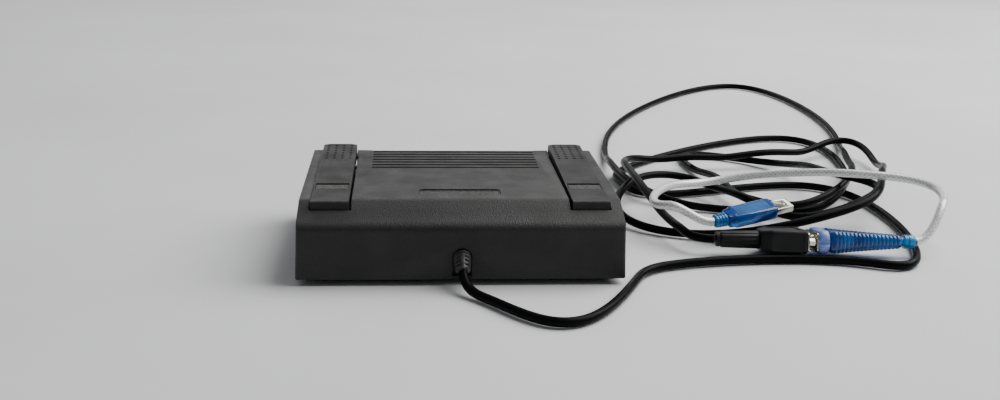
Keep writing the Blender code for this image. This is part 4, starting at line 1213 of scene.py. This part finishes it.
def area_light(name, place, aim, size, power):
    data = bpy.data.lights.new(name, "AREA")
    data.shape = "RECTANGLE"
    data.size, data.size_y = size
    data.energy = power
    data.color = LAMP_COLOUR
    light = bpy.data.objects.new(name, data)
    light.location = place
    light.visible_camera = False
    light.rotation_euler = (Vector(aim) - Vector(place)).to_track_quat("-Z", "Y").to_euler()
    bpy.context.scene.collection.objects.link(light)


def make_light():
    world = bpy.data.worlds.new("studio")
    bpy.context.scene.world = world
    world.use_nodes = True
    back = world.node_tree.nodes["Background"]
    back.inputs["Color"].default_value = (0.93, 0.95, 1.0, 1.0)
    back.inputs["Strength"].default_value = WORLD_STRENGTH
    area_light("key", KEY_PLACE, (0.1, 0.1, 0.0), (2.4, 2.4), KEY_POWER)
    area_light("rear", REAR_PLACE, (0.0, 0.0, 0.0), (2.4, 1.0), REAR_POWER)


def make_cords(vinyl, braid):
    black = black_cord_line()
    cord = make_tube("pedal_flex", black, CORD_RADIUS, vinyl, 16)
    mounted(cord, "cord_vinyl", "base", "pedal_cord")
    clear = clear_lead_line(black)
    lead = make_tube("usb_flex", clear, LEAD_RADIUS, braid, 20)
    mounted(lead, "clear_braid", "base", "adapter_lead")


def build():
    make_camera()
    make_floor()
    make_light()
    shell_black = moulded_black("shell_black", (0.006, 0.006, 0.006), (0.013, 0.013, 0.0125), 0.48, 0.75)
    pedal_black = moulded_black("pedal_black", (0.003, 0.003, 0.003), (0.006, 0.006, 0.006), 0.52, 0.8)
    tray_black = plain_plastic("tray_black", (0.02, 0.02, 0.021), 0.55)
    label_dark = worn_label("label_dark", (0.5, 1.6, 1.0), 0.62)
    badge_dark = worn_label("badge_dark", (0.8, 1.2, 1.0), 0.55)
    rubber = smooth_black("rubber_black", (0.005, 0.005, 0.0055), 0.44)
    shader_of(rubber).inputs["Specular IOR Level"].default_value = 0.3
    gland_rubber = smooth_black("gland_rubber", (0.016, 0.016, 0.017), 0.36)
    foot_rubber = smooth_black("foot_rubber", (0.02, 0.02, 0.02), 0.75, 400.0, 0.05)
    vinyl = smooth_black("vinyl_black", (0.003, 0.003, 0.0035), 0.26, 60.0, 0.04)
    shader_of(vinyl).inputs["Specular IOR Level"].default_value = 0.04
    steel = metal("steel", (0.72, 0.72, 0.71), 0.28)
    black_steel = metal("blackened_steel", (0.03, 0.03, 0.032), 0.4)
    spring_steel = metal("spring_wire", (0.55, 0.56, 0.58), 0.32)
    nickel = metal("nickel", (0.58, 0.56, 0.5), 0.24)
    warm_nickel = metal("warm_nickel", (0.8, 0.75, 0.62), 0.26)
    blue = clear_blue("clear_blue_hood", (0.0, 0.03, 0.28), (0.0, 0.2, 0.66), 0.5)
    pale_blue = clear_blue("clear_blue_collar", (0.16, 0.26, 0.72), (0.34, 0.48, 0.9), 0.25, 0.3)
    cyan = clear_blue("clear_blue_relief", (0.0, 0.24, 0.66), (0.02, 0.5, 0.92), 0.4)
    top_blue = clear_blue("blue_panel", (0.0, 0.07, 0.26), (0.01, 0.16, 0.46), 0.1, 0.22)
    core_blue = plain_plastic("core_blue", (0.006, 0.004, 0.05), 0.5)
    braid = braid_wire("silver_braid")
    white = plain_plastic("nylon_white", (0.75, 0.74, 0.7), 0.45)
    green = plain_plastic("board_green", (0.02, 0.14, 0.05), 0.4)
    grey = plain_plastic("switch_grey", (0.1, 0.1, 0.11), 0.5)

    plug_pieces = make_moulded_plug(rubber, nickel, warm_nickel)
    adapter_pieces = make_adapter(blue, pale_blue, cyan, core_blue, nickel)
    usb_pieces = make_usb_plug(blue, top_blue, cyan, nickel, white)
    make_cords(vinyl, braid)
    make_gland(gland_rubber)
    make_shell(shell_black)
    make_badge(badge_dark)
    make_spring_clip(steel)
    make_side_pedal("rewind", -1, pedal_black, label_dark)
    make_side_pedal("forward", 1, pedal_black, label_dark)
    make_springs(spring_steel)

    finishes = {
        "base_plate": tray_black, "cord_clamp": tray_black, "circuit_board": green, "wire_socket": white,
    }
    for name in ("play", "rewind", "forward"):
        finishes[f"{name}_switch"] = grey
        finishes[f"{name}_plunger"] = white
    for name in ("rewind_pivot_pin", "forward_pivot_pin", "shell_hinge_pin_left", "shell_hinge_pin_right"):
        finishes[name] = black_steel
    for name in ("clamp_screw_left", "clamp_screw_right"):
        finishes[name] = steel
    for i in range(1, 5):
        finishes[f"board_screw_{i}"] = steel
        finishes[f"rubber_foot_{i}"] = foot_rubber
    refine_frame_parts(finishes)


build()
